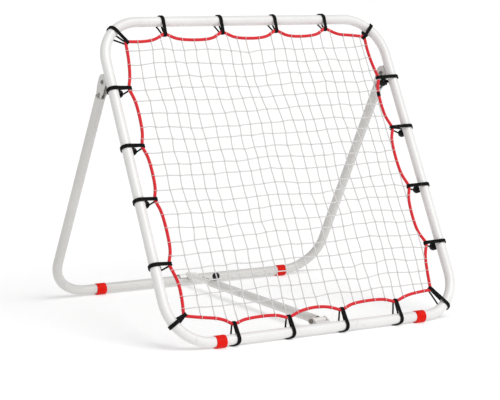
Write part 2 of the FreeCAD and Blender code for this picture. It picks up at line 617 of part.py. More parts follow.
for k in (1, 2, 3):
    o = cut("slider_step_%d" % k, o, cyl("step_hole_%d" % k, sw, 12, pin_c - Vector(0, 25.0 * k, 0), Vector(0, 0, 1)))
node("strut_inner_tube", o)

# saddle over the rear cross tube, with a plastic liner; drawn as a section turned about the tube
for name, r0, r1, wide_, a_front, a_back in (
        ("rear_saddle", TR + D["saddle_gap"] + D["liner_wall"], TR + D["saddle_gap"] + D["liner_wall"] + D["saddle_wall"], D["saddle_width"], 58.0, 104.0),
        ("saddle_liner", TR + D["saddle_gap"], TR + D["saddle_gap"] + D["liner_wall"], D["liner_width"], 60.0, 106.0)):
    b = body(name)
    s = sketch(b, name + "_section", "XZ_Plane")
    polygon(s, [(wide_ / -2, r0), (wide_ / 2, r0), (wide_ / 2, r1), (wide_ / -2, r1)])
    f = b.newObject("PartDesign::Revolution", name + "_turn")
    f.Profile = s
    f.ReferenceAxis = (s, ["H_Axis"])
    f.Angle = a_front + a_back
    node(name, b, shift(0, RY, ZF).multiply(Placement(Vector(0, 0, 0), Rotation(X, -a_back))))

# ---------------------------------------------------------------- foot bands
band_places = {
    "foot_band_front_left": (-287.0, YF), "foot_band_front_right": (280.0, YF),
    "foot_band_rear_left": (-264.0, RY), "foot_band_rear_right": (297.0, RY)}
for name, (bx, by) in band_places.items():
    b = body(name)
    s = sketch(b, name + "_ring", "YZ_Plane")
    circle(s, 0, -D["band_drop"], D["band_dia"] / 2)
    circle(s, 0, 0, TR)
    pad(b, s, D["band_width"])
    # worn flat where it stands on the floor
    s = sketch(b, name + "_flat", "YZ_Plane")
    polygon(s, [(-20, -D["axis_height"]), (20, -D["axis_height"]), (20, -25), (-20, -25)])
    cut_check(b, pocket(b, s, 2 * D["band_width"]), name + " flat")
    node(name, b, shift(bx, by, ZF))

# ---------------------------------------------------------------- net and its border rope
# corner points of the rope in the frame plane: across, up the slope, radius of the bend there
NB = D["net_behind"].v
ROPE = [
    (-16, 53, 0), (-55, 48, 90), (-92, 34, 16), (-128, 46, 90), (-205, 45, 90), (-242, 34, 16), (-272, 52, 90),
    (-330, 61, 90), (-365.5, 68.2, 12), (-360, 104, 90), (-358, 148, 90), (-372, 194, 16), (-357, 232, 90), (-357, 318, 90),
    (-369, 354, 16), (-358, 388, 90), (-358, 456, 90), (-369, 489, 16), (-357, 528, 90), (-356, 600, 90), (-367, 638, 16),
    (-356, 670, 90), (-349, 712, 90), (-346, 761, 12), (-300, 760, 90), (-268, 764, 90), (-235, 781, 16), (-198, 763, 90),
    (-110, 762, 90), (-72, 784, 16), (-34, 764, 90), (48, 764, 90), (86, 786, 16), (122, 766, 90), (202, 768, 90),
    (236, 789, 16), (272, 770, 90), (306, 768, 90), (352.5, 762.7, 12), (350, 722, 90), (353, 680, 90), (361, 643, 16),
    (346, 610, 90), (345, 540, 90), (360, 502, 16), (344, 464, 90), (343, 380, 90), (360, 339, 16), (344, 300, 90),
    (343, 222, 90), (363, 184, 16), (347, 150, 90), (340, 106, 90), (334.9, 61.7, 12), (302, 60, 90), (262, 56, 90),
    (220, 42, 16), (182, 54, 90), (98, 52, 90), (60, 37, 16), (24, 50, 90), (-14, 53, 0)]


def rounded(points, closed):
    """Straight runs joined by tangent arcs through the corner points."""
    n = len(points)
    edges, radii, last = [], [], None
    pts = [Vector(p[0], p[1], 0) for p in points]
    marks = []
    for i in range(n):
        r = points[i][2]
        if not closed and i in (0, n - 1):
            marks.append((pts[i], None, pts[i]))
            continue
        a, p, q = pts[i - 1], pts[i], pts[(i + 1) % n]
        u, v = (a - p), (q - p)
        la, lb = u.Length, v.Length
        u.normalize()
        v.normalize()
        half_turn = (math.pi - u.getAngle(v)) / 2
        if half_turn < 1e-4:
            marks.append((p, None, p))
            continue
        reach = min(r * math.tan(half_turn), 0.45 * min(la, lb))
        radius = reach / math.tan(half_turn)
        mid_dir = u + v
        mid_dir.normalize()
        centre = p + mid_dir * (radius / math.cos(half_turn))
        top = centre - mid_dir * radius
        marks.append((p + u * reach, top, p + v * reach))
        radii.append(radius)
    for i in range(n):
        start, top, end = marks[i]
        if last is not None and (start - last).Length > 1e-6:
            edges.append(Part.LineSegment(last, start).toShape())
        if top is not None:
            edges.append(Part.Arc(start, top, end).toShape())
        last = end
    if closed:
        edges.append(Part.LineSegment(last, marks[0][0]).toShape())
    return edges, radii


edges, radii = rounded(ROPE, False)
path = Part.Wire(edges)
first = path.Vertexes[0].Point
section = Part.Wire([Part.Circle(first, Vector(ROPE[1][0] - ROPE[0][0], ROPE[1][1] - ROPE[0][1], 0), D["rope_dia"].v / 2).toShape()])
rope = path.makePipeShell([section], True, False)
print("border rope: length %.1f, volume %.0f of %.0f, radii %.0f to %.0f" % (
    path.Length, rope.Volume, math.pi * (D["rope_dia"].v / 2) ** 2 * path.Length, min(radii), max(radii)))
o = doc.addObject("Part::Feature", "border_rope")
o.Shape = rope
node("border_rope", o, FRAME.multiply(shift(0, 0, -NB)))

# ---------------------------------------------------------------- stations of the elastic loops
# tube point, inward direction, distance to the rope, way the ball hangs, place of the ball: inward, along, behind
R = D["frame_bend"].v
S = D["frame_side"].v
rope_pts = path.discretize(Distance=0.4)


def rope_gap(start, way):
    """Distance from a point of the tube to the rope, straight inward."""
    best = None
    for p in rope_pts:
        d = p - start
        along = d.dot(way)
        off = (d - way * along).Length
        if 0 < along < 90 and (best is None or off < best[0]):
            best = (off, along)
    return best[1]


LOOPS = []
for y, ball in ((638, (26, 2, 22.0)), (489, (26, 2, 22.0)), (354, (26, 2, 22.0)), (194, (17.5, 1, 22.8))):
    LOOPS.append((Vector(-HW, y, 0), Vector(1, 0, 0), Vector(0, -1, 0), ball))
for y, ball in ((643, (17.5, 2, 22.8)), (502, (0, 5, 26.6)), (339, (4, 0, 26.4)), (184, (4, 2, 26.4))):
    LOOPS.append((Vector(HW, y, 0), Vector(-1, 0, 0), Vector(0, -1, 0), ball))
for x, ball in ((-235, (-10, 1, 24.7)), (-72, (-9, 0, 25.1)), (86, (-10, 1, 24.7)), (236, (-13, 2, 23.3))):
    LOOPS.append((Vector(x, S, 0), Vector(0, -1, 0), Vector(-1, 0, 0), ball))
for x, ball in ((-242, (9, -4, 25.2)), (-92, (9, -4, 25.2)), (60, (9, -4, 25.2)), (220, (9, -4, 25.2))):
    LOOPS.append((Vector(x, 0, 0), Vector(0, 1, 0), Vector(-1, 0, 0), ball))
for sx, sy, angle, ball in ((-1, 1, 49.6, (4, 0, 26.4)), (1, 1, 46.5, (-6, 4, 25.9)), (-1, -1, 30.3, (12, 0, 24.8)), (1, -1, 53.2, (-8, -7, 25.4))):
    centre = Vector(sx * (HW - R), (S - R) if sy > 0 else R, 0)
    out = Vector(sx * math.cos(math.radians(angle)), sy * math.sin(math.radians(angle)), 0)
    hang = Vector(-out.y, out.x, 0)
    if hang.y > 0:
        hang = -hang
    LOOPS.append((centre + out * R, -out, hang, ball))
LOOPS = [(t, w, rope_gap(t, w), h_, ball) for t, w, h_, ball in LOOPS]
print("loops, tube to rope: " + " ".join("%.1f" % l[2] for l in LOOPS))

# net: twine grid clipped to the inside of the rope, with the mesh openings through it
twine = D["net_thick"].v
closed_pts = ROPE[1:-1] + [(-15, 53, 90)]
ring, _ = rounded(closed_pts, True)
outer = Part.Wire(Part.__sortEdges__(ring))
edge_wire = outer.makeOffset2D(-(D["rope_dia"].v / 2 + 0.4))
inner_wire = outer.makeOffset2D(-(D["rope_dia"].v / 2 + 0.4 + twine))
if edge_wire.BoundBox.XLength > outer.BoundBox.XLength:
    edge_wire = outer.makeOffset2D(D["rope_dia"].v / 2 + 0.4)
    inner_wire = outer.makeOffset2D(D["rope_dia"].v / 2 + 0.4 + twine)
inside = Part.Face(inner_wire)
bars = []
for i in range(22):
    x = -317.5 + D["net_pitch_x"].v * i
    bars.append(Part.makePlane(twine, 900, Vector(x - twine / 2, -40, 0)))
for j in range(22):
    y = 82.0 + D["net_pitch_s"].v * j
    if y < 775:
        bars.append(Part.makePlane(900, twine, Vector(-450, y - twine / 2, 0)))
holes = [f.OuterWire for f in inside.cut(bars).Faces if f.Area > 25]
sheet_face = Part.makeFace([edge_wire] + holes, "Part::FaceMakerBullseye")
# room for the elastic loops where they pass between the rope and the net
notches = []
for tube_pt, inward, gap, _, _ in LOOPS:
    side = Vector(-inward.y, inward.x, 0) * (D["loop_width"].v / 2 + 0.5)
    a, b_ = tube_pt + inward * (gap - 2), tube_pt + inward * (gap + D["loop_room"].v + D["loop_thick"].v + 0.6)
    notches.append(Part.Face(Part.makePolygon([a - side, b_ - side, b_ + side, a + side, a - side])))
sheet_face = sorted(sheet_face.cut(notches).Faces, key=lambda f: f.Area)[-1]
net = sheet_face.extrude(Vector(0, 0, twine))
print("net: %d mesh openings, volume %.0f" % (len(holes), net.Volume))
o = doc.addObject("Part::Feature", "net")
o.Shape = net
node("net", o, FRAME.multiply(shift(0, 0, -NB - twine / 2)))

# ---------------------------------------------------------------- elastic loops and their balls
def belt_outline(r0, r1, gap, behind, steps=24):
    """Points of the taut band about two parallel round bars: (inward, behind)."""
    reach = math.hypot(gap, behind)
    base = math.atan2(behind, gap)
    open_ = math.acos((r0 - r1) / reach)
    pts = []
    n0 = steps
    for i in range(n0 + 1):
        t = base + open_ + (2 * math.pi - 2 * open_) * i / n0
        pts.append((r0 * math.cos(t), r0 * math.sin(t)))
    n1 = 10
    for i in range(n1 + 1):
        t = base - open_ + 2 * open_ * i / n1
        pts.append((gap + r1 * math.cos(t), behind + r1 * math.sin(t)))
    return pts


def nearest_on_band(gap, behind, a, b_):
    """The place on the middle of the band's thickness that is nearest to a point behind it."""
    pts = belt_outline(TR.v + 0.2 + lt / 2, lr + lt / 2, gap, behind)
    best = None
    for p, q in zip(pts, pts[1:] + pts[:1]):
        dx, dy = q[0] - p[0], q[1] - p[1]
        f = min(1.0, max(0.0, ((a - p[0]) * dx + (b_ - p[1]) * dy) / max(dx * dx + dy * dy, 1e-9)))
        x, y = p[0] + dx * f, p[1] + dy * f
        d = math.hypot(a - x, b_ - y)
        if best is None or d < best[0]:
            best = (d, x, y)
    return best


lw, lt, lr = D["loop_width"].v, D["loop_thick"].v, D["loop_room"].v
belts, balls = [], []
for k, (tube_pt, inward, gap, hang, (ball_in, aside, ball_behind)) in enumerate(LOOPS):
    back = Vector(0, 0, -1)
    cross = inward.cross(back)
    wires = []
    for r0, r1 in ((TR.v + 0.2, lr), (TR.v + 0.2 + lt, lr + lt)):
        pts = [tube_pt + inward * a + back * b_ - cross * (lw / 2) for a, b_ in belt_outline(r0, r1, gap, NB)]
        wires.append(Part.makePolygon(pts + [pts[0]]))
    band = Part.makeFace(wires, "Part::FaceMakerBullseye").extrude(cross * lw)
    # the cord goes on from the band through the ball's bore to a knot in the ball
    middle = tube_pt + inward * ball_in + back * ball_behind + hang * aside
    _, leave_in, leave_behind = nearest_on_band(gap, NB, ball_in, ball_behind)
    leave = tube_pt + inward * leave_in + back * leave_behind + hang * min(1.5, max(-1.5, aside))
    to_ball = middle - leave
    far = to_ball.Length
    to_ball.normalize()
    cord = Part.makeCylinder(D["neck_dia"].v / 2, far + 5.5, leave, to_ball)
    knot = Part.makeCylinder(D["knot_dia"].v / 2, 4.0, middle + to_ball * 5.4, to_ball)
    whole = band.fuse([cord, knot]).removeSplitter()
    if len(whole.Solids) != 1:
        raise RuntimeError("elastic loop %d is not one piece" % (k + 1))
    belts.append(whole.Solids[0])
    o = doc.addObject("Part::Sphere", "ball_%02d" % (k + 1))
    bind(o, "Radius", D["ball_dia"] / 2)
    o.Placement = Placement(middle, Rotation())
    o = cut("ball_%02d_bored" % (k + 1), o, cyl("ball_%02d_bore" % (k + 1), D["ball_bore"] / 2, 24, middle - to_ball * 12, to_ball))
    o = cut("ball_%02d_seated" % (k + 1), o, cyl("ball_%02d_seat" % (k + 1), D["ball_seat"] / 2, 8, middle + to_ball * 5.2, to_ball))
    balls.append(o)
o = doc.addObject("Part::Feature", "bungee_loops")
o.Shape = Part.makeCompound(belts)
node("bungee_loops", o, FRAME)
node("bungee_balls", group("bungee_balls", balls), FRAME)

# ---------------------------------------------------------------- check and write
doc.recompute()
bad = []
for o in doc.Objects:
    if any(word in o.State for word in ("Invalid", "Error")):
        bad.append("%s: %s" % (o.Name, o.State))
for name, obj in NODES.items():
    shape = obj.Shape
    if shape.isNull() or not shape.isValid():
        bad.append("%s: no valid shape" % name)
    elif not shape.Solids or shape.Volume <= 0:
        bad.append("%s: no solid" % name)
for name, feature in checks:
    before = feature.BaseFeature if feature.TypeId == "PartDesign::Pocket" else feature.Base
    if before is None or before.Shape.isNull() or feature.Shape.isNull():
        bad.append("%s: no shape to compare" % name)
    elif feature.Shape.Volume > before.Shape.Volume - 1e-3:
        bad.append("%s: removed nothing" % name)
if bad:
    raise RuntimeError("; ".join(bad))
total = None
for name, obj in NODES.items():
    shape = obj.Shape
    shape.exportStep("parts/%s.step" % name)
    box_ = shape.optimalBoundingBox(True, False)
    total = box_ if total is None else total.united(box_)
    print("%-24s solids %2d  volume %9.1f" % (name, len(shape.Solids), shape.Volume))
print("nodes %d, box X %.1f..%.1f Y %.1f..%.1f Z %.1f..%.1f" % (len(NODES), total.XMin, total.XMax, total.YMin, total.YMax, total.ZMin, total.ZMax))
print("pivot y %.3f z %.3f, foot y %.3f z %.3f, leg length %.2f" % (pivot.y, pivot.z, foot.y, foot.z, leg_len))
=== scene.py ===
import math

import bpy
import numpy as np
from mathutils import Matrix, Vector

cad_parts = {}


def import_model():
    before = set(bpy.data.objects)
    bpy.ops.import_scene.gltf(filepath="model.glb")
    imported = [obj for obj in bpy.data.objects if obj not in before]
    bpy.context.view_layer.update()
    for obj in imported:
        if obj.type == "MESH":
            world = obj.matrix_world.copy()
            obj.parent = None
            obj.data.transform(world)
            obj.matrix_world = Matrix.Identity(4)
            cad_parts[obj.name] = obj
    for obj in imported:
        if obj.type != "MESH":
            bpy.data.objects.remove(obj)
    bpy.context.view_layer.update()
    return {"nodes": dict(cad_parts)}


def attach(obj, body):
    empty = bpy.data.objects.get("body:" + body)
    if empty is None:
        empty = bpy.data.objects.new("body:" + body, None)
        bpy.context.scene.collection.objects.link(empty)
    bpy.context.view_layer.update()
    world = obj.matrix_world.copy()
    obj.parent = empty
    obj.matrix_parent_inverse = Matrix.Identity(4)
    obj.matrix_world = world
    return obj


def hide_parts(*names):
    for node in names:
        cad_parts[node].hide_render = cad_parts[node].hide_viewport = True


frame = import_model()
nodes = frame["nodes"]
scene = bpy.context.scene
rng = np.random.default_rng(7)

MM = 0.001
TILT = math.radians(61.2)
CT, ST = math.cos(TILT), math.sin(TILT)
EX = np.array([1.0, 0.0, 0.0])
ES = np.array([0.0, CT, ST])     # up the frame's slope
EB = np.array([0.0, ST, -CT])    # behind the frame
ORIGIN = np.array([0.0, -0.3385, 0.0165])
HW, SIDE, BEND = 407.5, 815.0, 105.0   # tube axes of the frame
TUBE_R = 12.5
NET_B = -4.0                            # the net lies this far behind the tube axes


def at(x, s, b):
    """A point of the frame plane: across, up the slope, behind, in millimetres."""
    x, s, b = np.asarray(x, float), np.asarray(s, float), np.asarray(b, float)
    return ORIGIN + MM * (x[..., None] * EX + s[..., None] * ES + b[..., None] * EB)


# ------------------------------------------------------------------ mesh helpers
class Build:
    """Collects vertices, faces and point attributes of one piece."""

    def __init__(self):
        self.v, self.f, self.n = [], [], 0
        self.attr = {"along": [], "around": [], "relief": []}

    def add(self, verts, faces, along=None, around=None, relief=None):
        verts = np.asarray(verts, float).reshape(-1, 3)
        k = len(verts)
        self.v.append(verts)
        self.f.extend([tuple(i + self.n for i in f) for f in faces])
        for key, val in (("along", along), ("around", around), ("relief", relief)):
            self.attr[key].append(np.zeros(k) if val is None else np.asarray(val, float).reshape(-1))
        self.n += k

    def grid(self, rings, closed_rings, along=None, around=None, relief=None, caps=False):
        """rings: array (number of rings, points round, 3)."""
        m, k = rings.shape[:2]
        faces = []
        for i in range(m if closed_rings else m - 1):
            i2 = (i + 1) % m
            for j in range(k):
                j2 = (j + 1) % k
                faces.append((i * k + j, i * k + j2, i2 * k + j2, i2 * k + j))
        if caps and not closed_rings:
            faces.append(tuple(range(k - 1, -1, -1)))
            faces.append(tuple((m - 1) * k + j for j in range(k)))
        self.add(rings, faces, along, around, relief)

    def piece(self, name, material, smooth=True):
        me = bpy.data.meshes.new(name)
        me.from_pydata(np.concatenate(self.v).tolist(), [], self.f)
        for key, vals in self.attr.items():
            a = me.attributes.new(key, "FLOAT", "POINT")
            a.data.foreach_set("value", np.concatenate(vals).astype(np.float32))
        me.polygons.foreach_set("use_smooth", [smooth] * len(me.polygons))
        me.materials.append(material)
        me.update()
        me.validate()
        o = bpy.data.objects.new(name, me)
        scene.collection.objects.link(o)
        return o


def unit(v):
    return v / np.maximum(np.linalg.norm(v, axis=-1, keepdims=True), 1e-12)


def tangents(p, closed):
    if closed:
        return unit(np.roll(p, -1, 0) - np.roll(p, 1, 0))
    t = np.empty_like(p)
    t[1:-1] = p[2:] - p[:-2]
    t[0], t[-1] = p[1] - p[0], p[-1] - p[-2]
    return unit(t)


def frames_of(p, closed=False, hint=None):
    """Two cross directions along a line, carried without twist."""
    t = tangents(p, closed)
    h = np.array([0.3, 0.7, 0.64]) if hint is None else np.asarray(hint, float)
    if abs(h @ t[0]) > 0.9 * np.linalg.norm(h):
        h = np.array([0.9, -0.2, 0.3])
    u = np.empty_like(p)
    u[0] = unit(h - (h @ t[0]) * t[0])
    for i in range(1, len(p)):
        x = u[i - 1] - (u[i - 1] @ t[i]) * t[i]
        u[i] = x / max(np.linalg.norm(x), 1e-12)
    return t, u, np.cross(t, u)


def length_of(p, closed=False):
    q = np.vstack([p, p[:1]]) if closed else p
    return np.concatenate([[0], np.cumsum(np.linalg.norm(np.diff(q, axis=0), axis=1))])


def resample(p, n, closed=False):
    """n points evenly spaced along the line (the last one left out when closed)."""
    q = np.vstack([p, p[:1]]) if closed else p
    d = length_of(p, closed)
    want = np.linspace(0, d[-1], n + 1)[:-1] if closed else np.linspace(0, d[-1], n)
    return np.stack([np.interp(want, d, q[:, k]) for k in range(q.shape[1])], 1)


def smooth_line(points, n_per=10, closed=False):
    """A curve through the points."""
    p = np.asarray(points, float)
    m = len(p)
    out = []
    for i in range(m if closed else m - 1):
        if closed:
            a, b, c, d = p[(i - 1) % m], p[i], p[(i + 1) % m], p[(i + 2) % m]
        else:
            a, b, c, d = p[max(i - 1, 0)], p[i], p[i + 1], p[min(i + 2, m - 1)]
        for t in np.arange(n_per) / n_per:
            out.append(0.5 * (2 * b + (c - a) * t + (2 * a - 5 * b + 4 * c - d) * t ** 2 + (3 * b - a - 3 * c + d) * t ** 3))
    if not closed:
        out.append(p[-1])
    return np.array(out)


def nurbs_line(points, closed=True, resolution=10):
    """The points of a NURBS spline of order 3 with these control points."""
    cu = bpy.data.curves.new("line", "CURVE")
    cu.dimensions = "3D"
    cu.resolution_u = resolution
    sp = cu.splines.new("NURBS")
    sp.points.add(len(points) - 1)
    for q, c in zip(sp.points, points):
        q.co = (*c, 1.0)
    sp.order_u = 3
    sp.use_cyclic_u = closed
    sp.use_endpoint_u = not closed
    o = bpy.data.objects.new("line", cu)
    scene.collection.objects.link(o)
    bpy.context.view_layer.update()
    me = bpy.data.meshes.new_from_object(o)
    pts = np.array([v.co for v in me.vertices], float)
    bpy.data.objects.remove(o)
    bpy.data.curves.remove(cu)
    bpy.data.meshes.remove(me)
    return pts


def round_cord(build, p, radius, sides=10, closed=False, hint=None, caps=True):
    t, u, w = frames_of(p, closed, hint)
    ang = 2 * np.pi * np.arange(sides) / sides
    r = np.broadcast_to(np.asarray(radius, float), (len(p),))[:, None, None]
    rings = p[:, None] + r * (np.cos(ang)[None, :, None] * u[:, None] + np.sin(ang)[None, :, None] * w[:, None])
    along = np.repeat(length_of(p)[:, None], sides, 1)
    around = np.repeat((ang / (2 * np.pi))[None], len(p), 0)
    build.grid(rings, closed, along, around, np.ones_like(along), caps=caps)


def flat_cord(build, p, wide, thick, across, sides=12):
    """A cord pressed flat by its own pull: wide in the direction across, thick the other way."""
    t = tangents(p, False)
    u = np.empty_like(p)
    last = None
    for i in range(len(p)):
        x = across - (across @ t[i]) * t[i]
        if np.linalg.norm(x) > 0.45:
            x = unit(x)
            if last is not None and x @ last < 0:
                x = -x
            if last is not None:
                x = unit(0.35 * x + 0.65 * (last - (last @ t[i]) * t[i]))
        else:
            x = unit(last - (last @ t[i]) * t[i])
        u[i] = last = x
    w = np.cross(t, u)
    ang = 2 * np.pi * np.arange(sides) / sides
    rings = (p[:, None] + (wide[:, None] * np.cos(ang)[None])[..., None] * u[:, None]
             + (thick[:, None] * np.sin(ang)[None])[..., None] * w[:, None])
    along = np.repeat(length_of(p)[:, None], sides, 1)
    around = np.repeat((ang / (2 * np.pi))[None], len(p), 0)
    build.grid(rings, False, along, around, np.ones_like(along), caps=True)


def ring(build, centre, axis, major, minor, n=14, sides=7, squeeze=1.0):
    """A small closed loop of cord about an axis."""
    axis = unit(np.asarray(axis, float))
    h = np.array([0.2, 0.9, 0.4]) if abs(axis[1]) < 0.9 else np.array([1.0, 0.1, 0.2])
    u = unit(h - (h @ axis) * axis)
    w = np.cross(axis, u)
    a = 2 * np.pi * np.arange(n) / n
    p = centre + major * (np.cos(a)[:, None] * u + squeeze * np.sin(a)[:, None] * w)
    out = unit(p - centre)
    b = 2 * np.pi * np.arange(sides) / sides
    rings = p[:, None] + minor * (np.cos(b)[None, :, None] * out[:, None] + np.sin(b)[None, :, None] * axis)
    along = np.repeat((major * a)[:, None], sides, 1)
    build.grid(rings, True, along, np.repeat((b / (2 * np.pi))[None], n, 0), np.ones_like(along))


def lathe(build, centre, axis, profile, n=40, hint=None):
    """A turned piece: profile is a closed list of (radius, height) along the axis."""
    axis = unit(np.asarray(axis, float))
    h = np.array([0.2, 0.9, 0.4]) if abs(axis[1]) < 0.9 else np.array([1.0, 0.1, 0.2])
    u = unit(h - (h @ axis) * axis)
    w = np.cross(axis, u)
    a = 2 * np.pi * np.arange(n) / n
    pr = np.asarray(profile, float)
    rad = np.cos(a)[:, None] * u + np.sin(a)[:, None] * w
    rings = centre + pr[:, 0][:, None, None] * rad[None] + pr[:, 1][:, None, None] * axis
    along = np.repeat(pr[:, 1][:, None], n, 1)
    build.grid(rings[::-1], True, along[::-1], np.repeat((a / (2 * np.pi))[None], len(pr), 0), np.ones_like(along))


# ------------------------------------------------------------------ materials
def lin(hexcode):
    out = []
    for k in (0, 2, 4):
        c = int(hexcode[k:k + 2], 16) / 255
        out.append(c / 12.92 if c <= 0.04045 else ((c + 0.055) / 1.055) ** 2.4)
    return (*out, 1.0)


class Mat:
    def __init__(self, name, metallic=0.0, coat=0.0, coat_rough=0.1, specular=0.5):
        self.m = bpy.data.materials.new(name)
        self.m.use_nodes = True
        self.t = self.m.node_tree
        self.t.nodes.clear()
        self.out = self.t.nodes.new("ShaderNodeOutputMaterial")
        self.p = self.t.nodes.new("ShaderNodeBsdfPrincipled")
        self.t.links.new(self.p.outputs["BSDF"], self.out.inputs["Surface"])
        self.p.inputs["Metallic"].default_value = metallic
        self.p.inputs["Coat Weight"].default_value = coat
        self.p.inputs["Coat Roughness"].default_value = coat_rough
        self.p.inputs["Specular IOR Level"].default_value = specular
        self.co = self.t.nodes.new("ShaderNodeTexCoord").outputs["Object"]

    def n(self, kind, **sockets):
        node = self.t.nodes.new(kind)
        for k, v in sockets.items():
            node.inputs[k.replace("_", " ")].default_value = v
        return node

    def link(self, a, b):
        self.t.links.new(a, b)

    def scaled(self, x, y, z):
        mp = self.t.nodes.new("ShaderNodeMapping")
        mp.inputs["Scale"].default_value = (x, y, z)
        self.link(self.co, mp.inputs["Vector"])
        return mp.outputs["Vector"]

    def noise(self, scale, detail=3.0, rough=0.55, vector=None, distortion=0.0):
        t = self.n("ShaderNodeTexNoise", Scale=scale, Detail=detail, Roughness=rough, Distortion=distortion)
        self.link(vector or self.co, t.inputs["Vector"])
        return t.outputs["Fac"]

    def attribute(self, name):
        a = self.t.nodes.new("ShaderNodeAttribute")
        a.attribute_name = name
        return a.outputs["Fac"]

    def ramp(self, fac, stops):
        r = self.t.nodes.new("ShaderNodeValToRGB")
        el = r.color_ramp.elements
        while len(el) < len(stops):
            el.new(0.5)
        for e, (pos, col) in zip(el, stops):
            e.position = pos
            e.color = col if len(col) == 4 else (*col, 1.0)
        self.link(fac, r.inputs["Fac"])
        return r.outputs["Color"]

    def span(self, fac, lo, hi, a=0.0, b=1.0):
        r = self.n("ShaderNodeMapRange")
        r.inputs["From Min"].default_value = a
        r.inputs["From Max"].default_value = b
        r.inputs["To Min"].default_value = lo
        r.inputs["To Max"].default_value = hi
        self.link(fac, r.inputs["Value"])
        return r.outputs["Result"]

    def math(self, op, a, b=None, value=None):
        m = self.t.nodes.new("ShaderNodeMath")
        m.operation = op
        self.link(a, m.inputs[0])
        if b is not None:
            self.link(b, m.inputs[1])
        elif value is not None:
            m.inputs[1].default_value = value
        return m.outputs["Value"]

    def mix(self, fac, a, b, blend="MIX"):
        m = self.t.nodes.new("ShaderNodeMix")
        m.data_type = "RGBA"
        m.blend_type = blend
        if isinstance(fac, float):
            m.inputs[0].default_value = fac
        else:
            self.link(fac, m.inputs[0])
        for sock, val in ((m.inputs[6], a), (m.inputs[7], b)):
            if isinstance(val, tuple):
                sock.default_value = val
            else:
                self.link(val, sock)
        return m.outputs[2]

    def colour(self, socket):
        self.link(socket, self.p.inputs["Base Color"])

    def roughness(self, socket):
        self.link(socket, self.p.inputs["Roughness"])

    def bump(self, height, strength, distance, after=None):
        b = self.n("ShaderNodeBump", Strength=strength, Distance=distance)
        self.link(height, b.inputs["Height"])
        if after is not None:
            self.link(after, b.inputs["Normal"])
        self.link(b.outputs["Normal"], self.p.inputs["Normal"])
        return b.outputs["Normal"]


def powder_coat(name, light, dark, dirt, rough=0.34, peel=0.35):
    """Stove enamel on steel tube: faint clouding, orange peel, a few rubbed and dusty spots."""
    m = Mat(name, coat=0.15, coat_rough=0.25, specular=0.45)
    cloud = m.noise(9.0, 4.0)
    base = m.ramp(cloud, [(0.35, lin(dark)), (0.65, lin(light))])
    spots = m.noise(38.0, 6.0, 0.7)
    mask = m.ramp(spots, [(0.60, (0, 0, 0)), (0.74, (1, 1, 1))])
    low = m.t.nodes.new("ShaderNodeSeparateXYZ")
    m.link(m.co, low.inputs[0])
    near_floor = m.span(low.outputs["Z"], 1.0, 0.18, 0.0, 0.12)
    dusty = m.math("MULTIPLY", mask, near_floor)
    m.colour(m.mix(dusty, base, lin(dirt)))
    grain = m.noise(240.0, 2.0)
    m.roughness(m.math("ADD", m.span(grain, rough - 0.04, rough + 0.05), m.math("MULTIPLY", dusty, value=0.2)))
    m.bump(m.noise(900.0, 2.0, 0.5), peel, 0.00012)
    return m.m


def zinc(name, light, dark, rough, brushed=(1, 1, 1), strength=0.25):
    """Zinc-plated or drawn steel with fine lines along one direction."""
    m = Mat(name, metallic=0.9)
    lines = m.noise(420.0, 4.0, 0.6, m.scaled(*brushed))
    cloud = m.noise(30.0, 3.0)
    m.colour(m.mix(m.span(cloud, 0.25, 0.75), lin(light), lin(dark)))
    m.roughness(m.span(lines, rough - 0.08, rough + 0.14))
    m.bump(lines, strength, 0.00008)
    return m.m


def moulded(name, light, dark, rough, scale=700.0, strength=0.25, specular=0.5, wear=None):
    """Moulded plastic or vinyl: fine grain, slightly uneven colour, paler scuffs."""
    m = Mat(name, specular=specular)
    cloud = m.noise(60.0, 4.0)
    base = m.ramp(cloud, [(0.3, lin(dark)), (0.7, lin(light))])
    if wear:
        scuff = m.ramp(m.noise(130.0, 6.0, 0.75, distortion=0.6), [(0.60, (0, 0, 0)), (0.72, (0.55, 0.55, 0.55))])
        base = m.mix(scuff, base, lin(wear))
    m.colour(base)
    m.roughness(m.span(m.noise(180.0, 3.0), rough - 0.07, rough + 0.1))
    m.bump(m.noise(scale, 3.0), strength, 0.00015)
    return m.m


def woven_cord(name, light, dark, pitch, rounds, rough=0.75, fleck=None, sheen=0.25, specular=0.3, painted_shade_range=(0.55, 0.35)):
    """Braided or twisted cover of a cord, drawn along and around it, with painted shade in the weave's grooves and
    between the yarns.
    """
    m = Mat(name, specular=specular)
    m.p.inputs["Sheen Weight"].default_value = sheen
    m.p.inputs["Sheen Roughness"].default_value = 0.5
    along, around = m.attribute("along"), m.attribute("around")
    turn = m.math("MULTIPLY", around, value=float(rounds))
    step = m.math("DIVIDE", along, value=pitch)
    a = m.math("SINE", m.math("MULTIPLY", m.math("ADD", turn, step), value=2 * math.pi))
    b = m.math("SINE", m.math("MULTIPLY", m.math("SUBTRACT", turn, step), value=2 * math.pi))
    weave = m.span(m.math("MULTIPLY", a, b), 0.0, 1.0, -1.0, 1.0)
    relief = m.attribute("relief")
    # painted shade: the colour darkens where the weave dips and where the relief between the yarns is low
    painted_shade = m.math("MULTIPLY", m.span(weave, painted_shade_range[0], 1.0), m.span(relief, painted_shade_range[1], 1.0))
    tone = m.mix(m.noise(160.0, 4.0), lin(light), lin(dark))
    col = m.mix(painted_shade, lin(dark), tone)
    if fleck:
        spots = m.ramp(m.noise(420.0, 3.0, 0.7), [(0.64, (0, 0, 0)), (0.72, (0.7, 0.7, 0.7))])
        col = m.mix(spots, col, lin(fleck))
    m.colour(col)
    m.roughness(m.span(m.noise(300.0, 3.0), rough - 0.08, rough + 0.12))
    m.bump(weave, 0.5, 0.00025)
    return m.m


